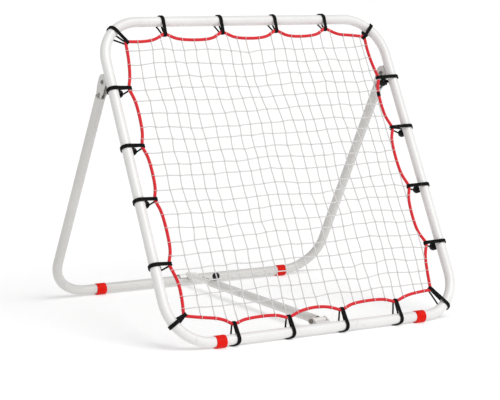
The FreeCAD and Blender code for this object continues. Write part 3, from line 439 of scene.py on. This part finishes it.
WHITE = powder_coat("white_enamel", "e5e5e4", "e0dfde", "c9c2b6")
GREY = powder_coat("grey_enamel", "d5d4d1", "cfcecb", "b0a89b", rough=0.34)
# painted light: a lighter copy of the leg's grey enamel, lifted to offset the shade that falls on the strut
STRUT_GREY_PAINTED_LIGHT = powder_coat("strut_enamel_painted_light", "e0dfdc", "dad9d6", "b0a89b", rough=0.34)
STEEL = zinc("drawn_steel", "b9bab9", "9c9d9d", 0.38, (1, 0.02, 1))
PLATED = zinc("plated_steel", "a8a49c", "85827c", 0.42, (1, 1, 1), 0.15)
BOLT = zinc("bolt_steel", "9a9894", "82807c", 0.5, (1, 1, 1), 0.2)
SPRING = zinc("spring_steel", "8f9194", "74767a", 0.3, (1, 1, 1), 0.1)
BLACK = moulded("black_plastic", "1c1c1d", "121213", 0.42, specular=0.25, wear="3a3a3b")
BALL = moulded("black_ball_plastic", "141415", "0c0c0d", 0.36, 500.0, 0.12, specular=0.2, wear="2c2c2d")
KNOB = moulded("black_knob_plastic", "121213", "0b0b0c", 0.24, 420.0, 0.06, specular=0.25)
GREY_PLASTIC = moulded("grey_plastic", "8d8c89", "7d7c79", 0.5)
# painted light: a near-white copy of the strut's enamel, brightened to offset the shade on the saddle's face turned
# from the light; the inner tube shares it
SADDLE_PAINTED_LIGHT = powder_coat("saddle_enamel_painted_light", "f4f4f1", "efefec", "c9c2b6", rough=0.4)
# partly painted shade: the lining is a real part, and its mid grey stands in for the shade in the gaps at the saddle's
# ends
LINER_PAINTED_SHADE = moulded("saddle_lining_painted_shade", "8e8e8c", "7c7c7a", 0.6, 600.0, 0.2, specular=0.2)
CAP_PLASTIC = moulded("cap_plastic", "c6c5c2", "bcbbb8", 0.5, specular=0.3)
RED_BAND = moulded("red_vinyl", "e4190a", "cf1206", 0.4, 520.0, 0.18, specular=0.1, wear="e8493d")
NET_TWINE = woven_cord("net_twine", "e0dfde", "c9c8c6", 0.006, 1.0, 0.7)
ROPE = woven_cord("red_braid", "f0303c", "c21822", 0.0042, 6.0, 0.62, fleck="f58a90", specular=0.12, painted_shade_range=(0.78, 0.72))
ELASTIC = woven_cord("black_elastic", "121213", "060607", 0.0021, 8.0, 0.7, sheen=0.0, specular=0.15)

FINISH = {
    "frame_upper_tube": WHITE, "frame_lower_tube": WHITE, "frame_spigots": STEEL, "frame_rivets": PLATED,
    "pivot_lug_left": GREY, "pivot_lug_right": GREY, "pivot_bolts": BOLT, "pivot_nuts": PLATED,
    "strut_bracket": WHITE, "strut_hinge_bolt": PLATED, "strut_hinge_nut": PLATED,
    "leg_tube": GREY, "leg_fork_left": GREY, "leg_fork_right": GREY, "fork_rivets": PLATED, "leg_end_plugs": CAP_PLASTIC,
    "strut_outer_tube": STRUT_GREY_PAINTED_LIGHT, "strut_hinge_barrel": STRUT_GREY_PAINTED_LIGHT, "strut_guide_bush": GREY_PLASTIC,
    "plunger_housing": PLATED, "plunger_spring": SPRING, "strut_inner_tube": SADDLE_PAINTED_LIGHT,
    "rear_saddle": SADDLE_PAINTED_LIGHT, "saddle_liner": LINER_PAINTED_SHADE, "knob": KNOB, "lock_pin": STEEL,
    "foot_band_front_left": RED_BAND, "foot_band_front_right": RED_BAND,
    "foot_band_rear_left": RED_BAND, "foot_band_rear_right": RED_BAND,
    "net": NET_TWINE, "border_rope": ROPE, "bungee_loops": ELASTIC, "bungee_balls": BALL,
}
for name, o in nodes.items():
    o.data.materials.clear()
    o.data.materials.append(FINISH[name])

# ------------------------------------------------------------------ border rope
# across, up the slope; the last number marks where an elastic loop pulls the rope outward
ROPE_POINTS = [
    (-15, 53, 0), (-55, 48, 0), (-92, 34, 1), (-128, 46, 0), (-205, 45, 0), (-242, 34, 1), (-272, 52, 0),
    (-330, 61, 0), (-365.5, 68.2, 1), (-360, 104, 0), (-358, 148, 0), (-372, 194, 1), (-357, 232, 0), (-357, 318, 0),
    (-369, 354, 1), (-358, 388, 0), (-358, 456, 0), (-369, 489, 1), (-357, 528, 0), (-356, 600, 0), (-367, 638, 1),
    (-356, 670, 0), (-349, 712, 0), (-346, 761, 1), (-300, 760, 0), (-268, 764, 0), (-235, 781, 1), (-198, 763, 0),
    (-110, 762, 0), (-72, 784, 1), (-34, 764, 0), (48, 764, 0), (86, 786, 1), (122, 766, 0), (202, 768, 0),
    (236, 789, 1), (272, 770, 0), (306, 768, 0), (352.5, 762.7, 1), (350, 722, 0), (353, 680, 0), (361, 643, 1),
    (346, 610, 0), (345, 540, 0), (360, 502, 1), (344, 464, 0), (343, 380, 0), (360, 339, 1), (344, 300, 0),
    (343, 222, 0), (363, 184, 1), (347, 150, 0), (340, 106, 0), (334.9, 61.7, 1), (302, 60, 0), (262, 56, 0),
    (220, 42, 1), (182, 54, 0), (98, 52, 0), (60, 37, 1), (24, 50, 0)]

control = []
count = len(ROPE_POINTS)
for i, (x, s, pulled) in enumerate(ROPE_POINTS):
    here = np.array([x, s], float)
    if pulled:
        before = np.array(ROPE_POINTS[i - 1][:2], float)
        after = np.array(ROPE_POINTS[(i + 1) % count][:2], float)
        control.append(here + unit(before - here) * 8)
        control.append(here)
        control.append(here + unit(after - here) * 8)
    else:
        control.append(here)
line = nurbs_line([(p[0] * MM, p[1] * MM, 0.0) for p in control])
rope_xs = resample(line[:, :2], 2400, True) / MM            # across, up the slope, in millimetres
rope_length = length_of(rope_xs, True)[-1]

cells = 2 * round(rope_length / (2 * 5.2))
rings_n = 4 * cells
sides = 24
centre2 = resample(rope_xs, rings_n, True)
path = at(centre2[:, 0], centre2[:, 1], np.full(rings_n, NET_B))
tan = tangents(path, True)
side_dir = np.cross(tan, EB)
theta = 2 * np.pi * np.arange(sides) / sides
U = theta[None, :] * 6 / (2 * np.pi)
W = (np.arange(rings_n) / 4.0)[:, None]
P, Q = U + W, U - W


def yarn(p, q, sign):
    k = np.round(p)
    across = np.sqrt(np.clip(1 - (2 * (p - k)) ** 2, 0, 1))
    return 0.6 * across + sign * 0.5 * np.cos(np.pi * (q + k))


# relief swells the braid's radius and, through the material, paints shade between the yarns
relief = np.maximum(yarn(P, Q, 1), yarn(Q, P, -1))
relief = np.clip(relief, 0, 1.1) / 1.1
radius = (3.5 + 0.52 * relief) * MM
rings = path[:, None] + radius[..., None] * (np.cos(theta)[None, :, None] * side_dir[:, None] + np.sin(theta)[None, :, None] * EB)
b = Build()
b.grid(rings, True, np.repeat((length_of(path)[:, None]), sides, 1), np.repeat((theta / (2 * np.pi))[None], rings_n, 0), relief)
rope = b.piece("border_rope_braid", ROPE)
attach(rope, "frame")
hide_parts("border_rope")

# ------------------------------------------------------------------ net of twine
XS = [-317.5, -282.5, -252.5, -222.5, -192.5, -157.5, -122.5, -92.5, -62.5, -32.5, -2.5,
      32.5, 67.5, 97.5, 127.5, 157.5, 192.5, 222.5, 252.5, 287.5, 317.5, 342.5]
SS = [82.0, 114.0, 146.0, 178.6, 213.6, 248.6, 278.6, 313.6, 343.6, 373.6, 408.6,
      438.6, 468.6, 503.6, 533.6, 568.6, 603.6, 633.6, 663.6, 698.6, 733.6]
nx, ns = len(XS), len(SS)


def soft_noise(shape, amount, passes):
    f = rng.normal(size=shape)
    for _ in range(passes):
        g = np.pad(f, 1, mode="edge")
        f = (g[1:-1, 1:-1] * 2 + g[:-2, 1:-1] + g[2:, 1:-1] + g[1:-1, :-2] + g[1:-1, 2:]) / 6
    return amount * f / max(f.std(), 1e-9)


KX = np.repeat(np.array(XS)[:, None], ns, 1) + soft_noise((nx, ns), 2.2, 4) + soft_noise((nx, ns), 1.1, 0)
KS = np.repeat(np.array(SS)[None], nx, 0) + soft_noise((nx, ns), 2.2, 4) + soft_noise((nx, ns), 1.1, 0)
KB = soft_noise((nx, ns), 1.2, 4)
# the outermost upright strands lean in towards the upper left corner
for i, most in ((0, 12.0), (1, 8.0), (2, 4.0)):
    KX[i] += most * np.clip((np.array(SS) - 630.0) / 104.0, 0, 1)


def inside(x, s, margin):
    """True where a point is inside the rope by this margin."""
    d = np.hypot(rope_xs[:, 0] - x, rope_xs[:, 1] - s)
    if d.min() < margin:
        return False
    a, c = rope_xs, np.roll(rope_xs, -1, 0)
    cross = (a[:, 1] > s) != (c[:, 1] > s)
    if not cross.any():
        return False
    xc = a[cross, 0] + (s - a[cross, 1]) / (c[cross, 1] - a[cross, 1]) * (c[cross, 0] - a[cross, 0])
    return bool((xc > x).sum() % 2)


good = np.array([[inside(KX[i, j], KS[i, j], 9.0) for j in range(ns)] for i in range(nx)])


def rope_hit(p, d):
    """Where a ray from p along d meets the rope, with the rope's direction there."""
    a, c = rope_xs, np.roll(rope_xs, -1, 0)
    e = c - a
    den = d[0] * e[:, 1] - d[1] * e[:, 0]
    den = np.where(abs(den) < 1e-9, 1e-9, den)
    w = a - p
    t = (w[:, 0] * e[:, 1] - w[:, 1] * e[:, 0]) / den
    u = (w[:, 0] * d[1] - w[:, 1] * d[0]) / den
    ok = (t > 0) & (u >= 0) & (u < 1)
    if not ok.any():
        return None
    k = np.where(ok)[0][np.argmin(t[ok])]
    return p + t[k] * d, unit(e[k]), t[k]


NETS = Build()
TW = 1.4 * MM


def strand(points):
    """One twine through its knots: each span hangs a little slack."""
    pts = np.asarray(points, float)
    fine = [pts[0]]
    for a, c in zip(pts[:-1], pts[1:]):
        d = np.linalg.norm(c - a)
        sag = rng.normal(size=3) * np.array([0.55, 0.55, 0.35])
        for t in (0.33, 0.67):
            fine.append(a + (c - a) * t + sag * math.sin(math.pi * t) * min(1.0, d / 20))
        fine.append(c)
    curve = smooth_line(fine, 3)
    p = at(curve[:, 0], curve[:, 1], NET_B + curve[:, 2])
    round_cord(NETS, p, TW, sides=6, hint=EB, caps=True)


hits = []
for i in range(nx):
    js = [j for j in range(ns) if good[i, j]]
    if len(js) < 2:
        continue
    pts = [(KX[i, j], KS[i, j], KB[i, j] + 0.55) for j in js]
    for end, j, way in ((0, js[0], -1), (1, js[-1], 1)):
        h = rope_hit(np.array([KX[i, j], KS[i, j]]), np.array([0.0, way]) + 0.0)
        if h is not None and h[2] < 75:
            hits.append((h[0], h[1]))
            q = h[0] - np.array([0.0, way]) * 4.4
            pts = ([(q[0], q[1], 0.2)] + pts) if end == 0 else (pts + [(q[0], q[1], 0.2)])
    strand(pts)
for j in range(ns):
    is_ = [i for i in range(nx) if good[i, j]]
    if len(is_) < 2:
        continue
    pts = [(KX[i, j], KS[i, j], KB[i, j] - 0.55) for i in is_]
    for end, i, way in ((0, is_[0], -1), (1, is_[-1], 1)):
        h = rope_hit(np.array([KX[i, j], KS[i, j]]), np.array([way, 0.0]) + 0.0)
        if h is not None and h[2] < 75:
            hits.append((h[0], h[1]))
            q = h[0] - np.array([way, 0.0]) * 4.4
            pts = ([(q[0], q[1], -0.2)] + pts) if end == 0 else (pts + [(q[0], q[1], -0.2)])
    strand(pts)
# a knot where two strands cross: one short wrap over the crossing, slanted
for i in range(nx):
    for j in range(ns):
        if good[i, j]:
            c = at(KX[i, j], KS[i, j], NET_B + KB[i, j])
            slant = 1 if (i + j) % 2 else -1
            ring(NETS, c, EX * slant + ES + 0.15 * EB * rng.normal(), 2.0 * MM, 1.15 * MM, 9, 6, 1.0)
# where a strand reaches the rope it is tied round it
for p, e in hits:
    lean = 0.2 * rng.normal()
    c = at(p[0], p[1], NET_B)
    ring(NETS, c, e[0] * EX + e[1] * ES + lean * EB, 4.3 * MM, 0.62 * MM, 18, 6, 1.0)
net = NETS.piece("net_twine", NET_TWINE)
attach(net, "frame")
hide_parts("net")

# the splice of the border rope: a whipping of dark thread on the right side
SPLICE = Build()
k0 = int(np.argmin(np.hypot(centre2[:, 0] - 345.5, centre2[:, 1] - 597)))
for i in range(-4, 5):
    j = (k0 + i) % rings_n
    ring(SPLICE, path[j], tan[j] + 0.04 * EB, 4.25 * MM, 0.72 * MM, 26, 6, 1.0)
whipping = SPLICE.piece("rope_splice", ELASTIC)
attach(whipping, "frame")

# ------------------------------------------------------------------ elastic loops and balls
# tube point, inward direction, way along the tube that counts as aside,
# place of the ball (inward, aside, behind), how far the doubled cord wanders aside behind the tube, lean of the bore
STATIONS = []
for s, ball, stray in ((638, (26, 2, 22.0), 3), (489, (26, 2, 22.0), 4), (354, (26, 2, 22.0), 4), (194, (17.5, 1, 22.8), 4)):
    STATIONS.append(((-HW, s), (1, 0), (0, -1), ball, stray, 0.0))
for s, ball, stray in ((643, (17.5, 2, 22.8), 2), (502, (0, 5, 26.6), 5), (339, (4, 0, 26.4), 3), (184, (4, 2, 26.4), 3)):
    STATIONS.append(((HW, s), (-1, 0), (0, -1), ball, stray, 0.0))
for x, ball, stray in ((-235, (-10, 1, 24.7), 1), (-72, (-9, 0, 25.1), 1), (86, (-10, 1, 24.7), 1), (236, (-13, 2, 23.3), 6)):
    STATIONS.append(((x, SIDE), (0, -1), (-1, 0), ball, stray, 0.0))
for x, ball, stray in ((-242, (9, -4, 25.2), 13), (-92, (9, -4, 25.2), 13), (60, (9, -4, 25.2), 13), (220, (9, -4, 25.2), 15)):
    STATIONS.append(((x, 0), (0, 1), (-1, 0), ball, stray, 0.9))
for sx, sy, deg, ball, stray in ((-1, 1, 49.6, (4, 0, 26.4), 2), (1, 1, 46.5, (-6, 4, 25.9), 2),
                                 (-1, -1, 30.3, (12, 0, 24.8), 1), (1, -1, 53.2, (-8, -7, 25.4), 0)):
    c = np.array([sx * (HW - BEND), (SIDE - BEND) if sy > 0 else BEND])
    out = np.array([sx * math.cos(math.radians(deg)), sy * math.sin(math.radians(deg))])
    hang = np.array([-out[1], out[0]])
    if hang[1] > 0:
        hang = -hang
    STATIONS.append((tuple(c + out * BEND), tuple(-out), tuple(hang), ball, stray, 0.0))

CORDS, BALLS = Build(), Build()
WIDE, THICK, SLACK = 2.35, 1.7, 1.95    # half sizes of the cord: pulled flat, and where it is slack
BALL_R = 9.95


def arc2(c, r, a0, a1, n):
    t = np.radians(np.linspace(a0, a1, n))
    return np.stack([c[0] + r * np.cos(t), c[1] + r * np.sin(t)], 1)


def clear_of_tube(p, least):
    """Points (inward, aside, behind) moved out to this distance from the tube's axis where they are nearer."""
    q = np.array(p, float)
    d = np.hypot(q[:, 0], q[:, 2])
    k = np.where(d < least, least / np.maximum(d, 1e-6), 1.0)
    q[:, 0] *= k
    q[:, 2] *= k
    return q


for k, (tube, inward, hang, ball, stray, lean) in enumerate(STATIONS):
    tube, inward, hang, ball = (np.array(v, float) for v in (tube, inward, hang, ball))
    d = (rope_xs - tube) @ inward
    off = np.linalg.norm(rope_xs - tube - d[:, None] * inward, axis=1)
    near = (d > 0) & (d < 90)
    gap = d[near][np.argmin(off[near])]

    def world(q):
        """Inward from the tube, along it, behind."""
        q = np.atleast_2d(q)
        flat = tube + inward * q[:, :1] + hang * q[:, 1:2]
        return at(flat[:, 0], flat[:, 1], q[:, 2])

    wrap = 7.9 if k == 4 else 9.3        # the turn round the neck: close beside the folding leg
    phi = math.atan2(ball[2], ball[0])
    radial = np.array([math.cos(phi), 0.0, math.sin(phi)])
    onward = np.array([-math.sin(phi), 0.0, math.cos(phi)])    # round the tube, away from the rope
    aside = np.array([0.0, 1.0, 0.0])
    axis = radial * math.cos(lean) - aside * math.sin(lean)    # the bore, from the tube outward
    r0, r1 = TUBE_R + THICK + 0.12, 4.05 + THICK
    reach = math.hypot(gap, NET_B)
    base = math.degrees(math.atan2(NET_B, gap))
    open_ = math.degrees(math.acos((r0 - r1) / reach))
    shake = rng.normal(size=6) * 0.35
    first = math.degrees(phi) + (26 if lean == 0 else 48)
    arc = arc2((0, 0), r0, first, base + 360 - open_, 17)
    loop_arc = arc2((gap, NET_B), r1, base - open_, base + 62, 9)

    def half(sign):
        """One strand from inside the ball, round the tube and the rope, to the side of the ball's neck."""
        pts, w = [], []
        for along, spread in ((6.0, 0.9), (0.0, 1.35), (-9.5, 1.5), (-12.0 if lean else -10.6, 1.9)):
            pts.append(ball + axis * along + aside * sign * spread * math.cos(lean) + radial * sign * spread * math.sin(lean))
            w.append(0.0)
        for i, q in enumerate(arc):
            f = i / (len(arc) - 1)
            swing = stray * math.exp(-((f - 0.12) / 0.33) ** 2) + ball[1] * max(0.0, 1 - f * 5) * (0 if lean else 0.6)
            pts.append(np.array([q[0], swing + shake[0] * (1 - f) + sign * (WIDE + 0.03), q[1]]))
            w.append(min(1.0, f * 6 + 0.35))
        for f in (0.3, 0.6):
            q = arc[-1] * (1 - f) + loop_arc[0] * f
            pts.append(np.array([q[0], sign * (WIDE + 0.02) + shake[0] * (1 - f) * 0.5, q[1]]))
            w.append(1.0)
        for q in loop_arc:
            pts.append(np.array([q[0], sign * (WIDE + 0.0), q[1]]))
            w.append(1.0)
        # the slack arm back to the ball, on its own side of the neck
        neck = ball - radial * 8.0
        side = neck + aside * sign * wrap - onward * 2.5
        start = np.array([*loop_arc[-1][:1], sign * WIDE, loop_arc[-1][1]])
        for f in (0.3, 0.55, 0.8):
            q = start * (1 - f) + side * f + radial * 0.0
            q = q + np.array([0.0, shake[2 + (sign > 0)] * math.sin(math.pi * f), 0.0])
            pts.append(q)
            w.append(0.25 if f > 0.3 else 0.6)
        pts.append(side)
        w.append(0.1)
        return pts, w

    (pa, wa), (pb, wb) = half(1), half(-1)
    neck = ball - radial * 8.0
    bight = [neck + wrap * (math.cos(t) * aside + math.sin(t) * onward) for t in np.radians([15, 52, 90, 128, 165])]
    pts = np.array(pa + bight + pb[::-1])
    flat = np.array(wa + [0.1] * 5 + wb[::-1])
    pts = np.vstack([pts[:3], clear_of_tube(pts[3:-3], r0), pts[-3:]])
    fine = smooth_line(np.column_stack([pts, flat]), 6)
    seg = length_of(fine[:, :3])
    want = np.linspace(0, seg[-1], 260)
    fine = np.stack([np.interp(want, seg, fine[:, j]) for j in range(4)], 1)
    f = np.clip(fine[:, 3], 0, 1)
    inside_ball = np.clip((np.linalg.norm(fine[:, :3] - ball, axis=1) - 8.0) / 5.0, 0, 1)
    slack = SLACK if inward[1] == 0 else SLACK + 0.35 * (1 - f) * inside_ball
    wide = (slack + (WIDE - slack) * f) * (0.78 + 0.22 * inside_ball)
    thick = (slack + (THICK - slack) * f) * (0.78 + 0.22 * inside_ball)
    across = unit(hang[0] * EX + hang[1] * ES)
    flat_cord(CORDS, world(fine[:, :3]), wide * MM, thick * MM, across)

    # turned ball with a bore, a seat for the knot and a faint seam about its middle
    low, high = math.asin(3.9 / BALL_R), math.asin(4.3 / BALL_R)
    bottom = -BALL_R * math.cos(low)
    prof = [(3.35, -5.0), (3.35, bottom + 0.7), (3.55, bottom + 0.15), (3.9, bottom - 0.02)]
    for t in np.linspace(low, math.pi - high, 26):
        r = BALL_R + 0.13 * math.exp(-((t - math.pi / 2) / 0.035) ** 2)
        prof.append((r * math.sin(t), -r * math.cos(t)))
    prof += [(4.05, BALL_R * math.cos(high) - 0.1), (3.9, BALL_R * math.cos(high) - 0.6), (3.9, 5.3), (3.35, 5.2), (3.35, 0.0)]
    e3 = unit(world(ball + axis)[0] - world(ball)[0])
    sv = unit(world(ball + aside)[0] - world(ball)[0])
    lathe(BALLS, world(ball)[0], e3, [(r * MM, h * MM) for r, h in prof], 36)
    # the knot: two cord ends folded over each other in the seat
    kc = world(ball + axis * 7.2)[0]
    ring(CORDS, kc, e3 + 0.4 * sv, 1.9 * MM, 1.6 * MM, 14, 8)
    tip = world(ball + axis * 9.0)[0]
    for sg in (-1, 1):
        q = np.array([kc - e3 * 1.5 * MM + sv * sg * 0.4 * MM, kc + e3 * 0.3 * MM + sv * sg * 1.1 * MM, tip + e3 * 0.2 * MM + sv * sg * 1.3 * MM])
        round_cord(CORDS, smooth_line(q, 4), 1.15 * MM, sides=8)

loops = CORDS.piece("bungee_cords", ELASTIC)
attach(loops, "frame")
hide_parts("bungee_loops")
balls = BALLS.piece("bungee_ball_set", BALL)
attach(balls, "frame")
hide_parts("bungee_balls")

# ------------------------------------------------------------------ foot bands
# a vinyl sleeve, thin on top and thick below, flat where it stands, with rolled edges
BANDS = {"foot_band_front_left": (-287.0, -338.5, "frame"), "foot_band_front_right": (280.0, -338.5, "frame"),
         "foot_band_rear_left": (-264.0, 338.5, "leg"), "foot_band_rear_right": (297.0, 338.5, "leg")}
for name, (bx, by, body) in BANDS.items():
    B = Build()
    half, n = 13.5, 72
    stations = [(-half, 0.0), (-half + 0.15, 0.55), (-half + 0.6, 0.9), (-half + 1.3, 1.0)]
    for g in (-6.5, 0.0, 6.5):
        stations += [(g - 0.9, 1.0), (g - 0.35, 0.82), (g + 0.35, 0.82), (g + 0.9, 1.0)]
    stations += [(half - 1.3, 1.0), (half - 0.6, 0.9), (half - 0.15, 0.55), (half, 0.0)]
    a = 2 * np.pi * np.arange(n) / n
    rows = []
    for px, full in stations:
        inner = TUBE_R + 0.05
        out_c, out_r = -1.3, 15.3
        ox = out_r * np.cos(a)
        oz = out_c + out_r * np.sin(a)
        oz = np.maximum(oz, -16.5)
        th = np.hypot(ox, oz) - inner
        grow = 0.35 + 0.65 * full if full > 0 else 0.35
        rr = inner + th * grow
        ang = np.arctan2(oz, ox)
        rows.append(np.stack([np.full(n, bx + px), by + rr * np.cos(ang), 16.5 + np.maximum(rr * np.sin(ang), -16.5)], 1))
    for px in (half - 0.05, -half + 0.05):
        rows.append(np.stack([np.full(n, bx + px), by + (TUBE_R + 0.02) * np.cos(a), 16.5 + (TUBE_R + 0.02) * np.sin(a)], 1))
    B.grid(np.array(rows)[::-1] * MM, True)
    o = B.piece(name.replace("foot_band", "foot_sleeve"), RED_BAND)
    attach(o, body)
    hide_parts(name)

# ------------------------------------------------------------------ stage, light, camera
me = bpy.data.meshes.new("floor")
me.from_pydata([(-30, -30, 0), (30, -30, 0), (30, 30, 0), (-30, 30, 0)], [], [(0, 1, 2, 3)])
floor = bpy.data.objects.new("floor", me)
scene.collection.objects.link(floor)
fm = Mat("studio_floor", specular=0.1)
fm.colour(fm.mix(fm.noise(1.5, 2.0), lin("e6e6e6"), lin("e4e4e4")))
fm.p.inputs["Roughness"].default_value = 0.9
fm.p.inputs["Emission Color"].default_value = (1.0, 1.0, 1.0, 1.0)
fm.p.inputs["Emission Strength"].default_value = 0.30
me.materials.append(fm.m)

# a plain white backdrop all round, seen but casting no light or shadow on the object
n_wall = 96
turn = 2 * np.pi * np.arange(n_wall) / n_wall
verts = [(29 * math.cos(t), 29 * math.sin(t), z) for z in (-0.01, 24.0) for t in turn]
wall_mesh = bpy.data.meshes.new("backdrop")
wall_mesh.from_pydata(verts, [], [(i, (i + 1) % n_wall, n_wall + (i + 1) % n_wall, n_wall + i) for i in range(n_wall)])
wall = bpy.data.objects.new("backdrop", wall_mesh)
scene.collection.objects.link(wall)
wm = Mat("studio_backdrop", specular=0.0)
wm.colour(wm.mix(wm.noise(0.5, 2.0), lin("060606"), lin("050505")))
wm.p.inputs["Roughness"].default_value = 1.0
wm.p.inputs["Emission Color"].default_value = (1.0, 1.0, 1.0, 1.0)
wm.p.inputs["Emission Strength"].default_value = 1.0
wall_mesh.materials.append(wm.m)
for ray in ("visible_diffuse", "visible_glossy", "visible_transmission", "visible_volume_scatter", "visible_shadow"):
    setattr(wall, ray, False)

world = bpy.data.worlds.new("studio")
scene.world = world
world.use_nodes = True
bg = world.node_tree.nodes["Background"]
bg.inputs["Color"].default_value = (1.0, 1.0, 1.0, 1.0)
bg.inputs["Strength"].default_value = 0.50


def sun(name, azimuth, elevation, strength, angle):
    """Light that comes from this azimuth round the object (0 is the front, 90 the right) and height."""
    li = bpy.data.lights.new(name, "SUN")
    li.energy = strength
    li.angle = math.radians(angle)
    o = bpy.data.objects.new(name, li)
    a, e = math.radians(azimuth), math.radians(elevation)
    way = Vector((math.sin(a) * math.cos(e), -math.cos(a) * math.cos(e), math.sin(e)))
    o.rotation_mode = "QUATERNION"
    o.rotation_quaternion = way.to_track_quat("Z", "Y")
    scene.collection.objects.link(o)


sun("key", 14, 48, 1.86, 40)

AZ, EL, ROLL, DIST, OX, OZ = -0.5407584, 0.1466431, 0.0106449, 3.9690755, -0.1288422, -0.0374404
FOCAL = 824.03958 * 2.0
forward = np.array([-math.sin(AZ) * math.cos(EL), math.cos(AZ) * math.cos(EL), -math.sin(EL)])
right = unit(np.cross(forward, [0, 0, 1]))
up = np.cross(right, forward)
right, up = math.cos(ROLL) * right + math.sin(ROLL) * up, -math.sin(ROLL) * right + math.cos(ROLL) * up
place = np.array([0, 0.1, 0.35]) - forward * DIST + right * OX + up * OZ - np.array([0, 0.3385, 0.0003])
cam = bpy.data.cameras.new("camera")
cam.sensor_width = 36.0
cam.lens = FOCAL * 36.0 / 500.0
cam.clip_start, cam.clip_end = 0.05, 100
co = bpy.data.objects.new("camera", cam)
m = Matrix.Identity(4)
for r in range(3):
    m[r][0], m[r][1], m[r][2], m[r][3] = right[r], up[r], -forward[r], place[r]
co.matrix_world = m
scene.collection.objects.link(co)
scene.camera = co
scene.view_settings.view_transform = "Standard"
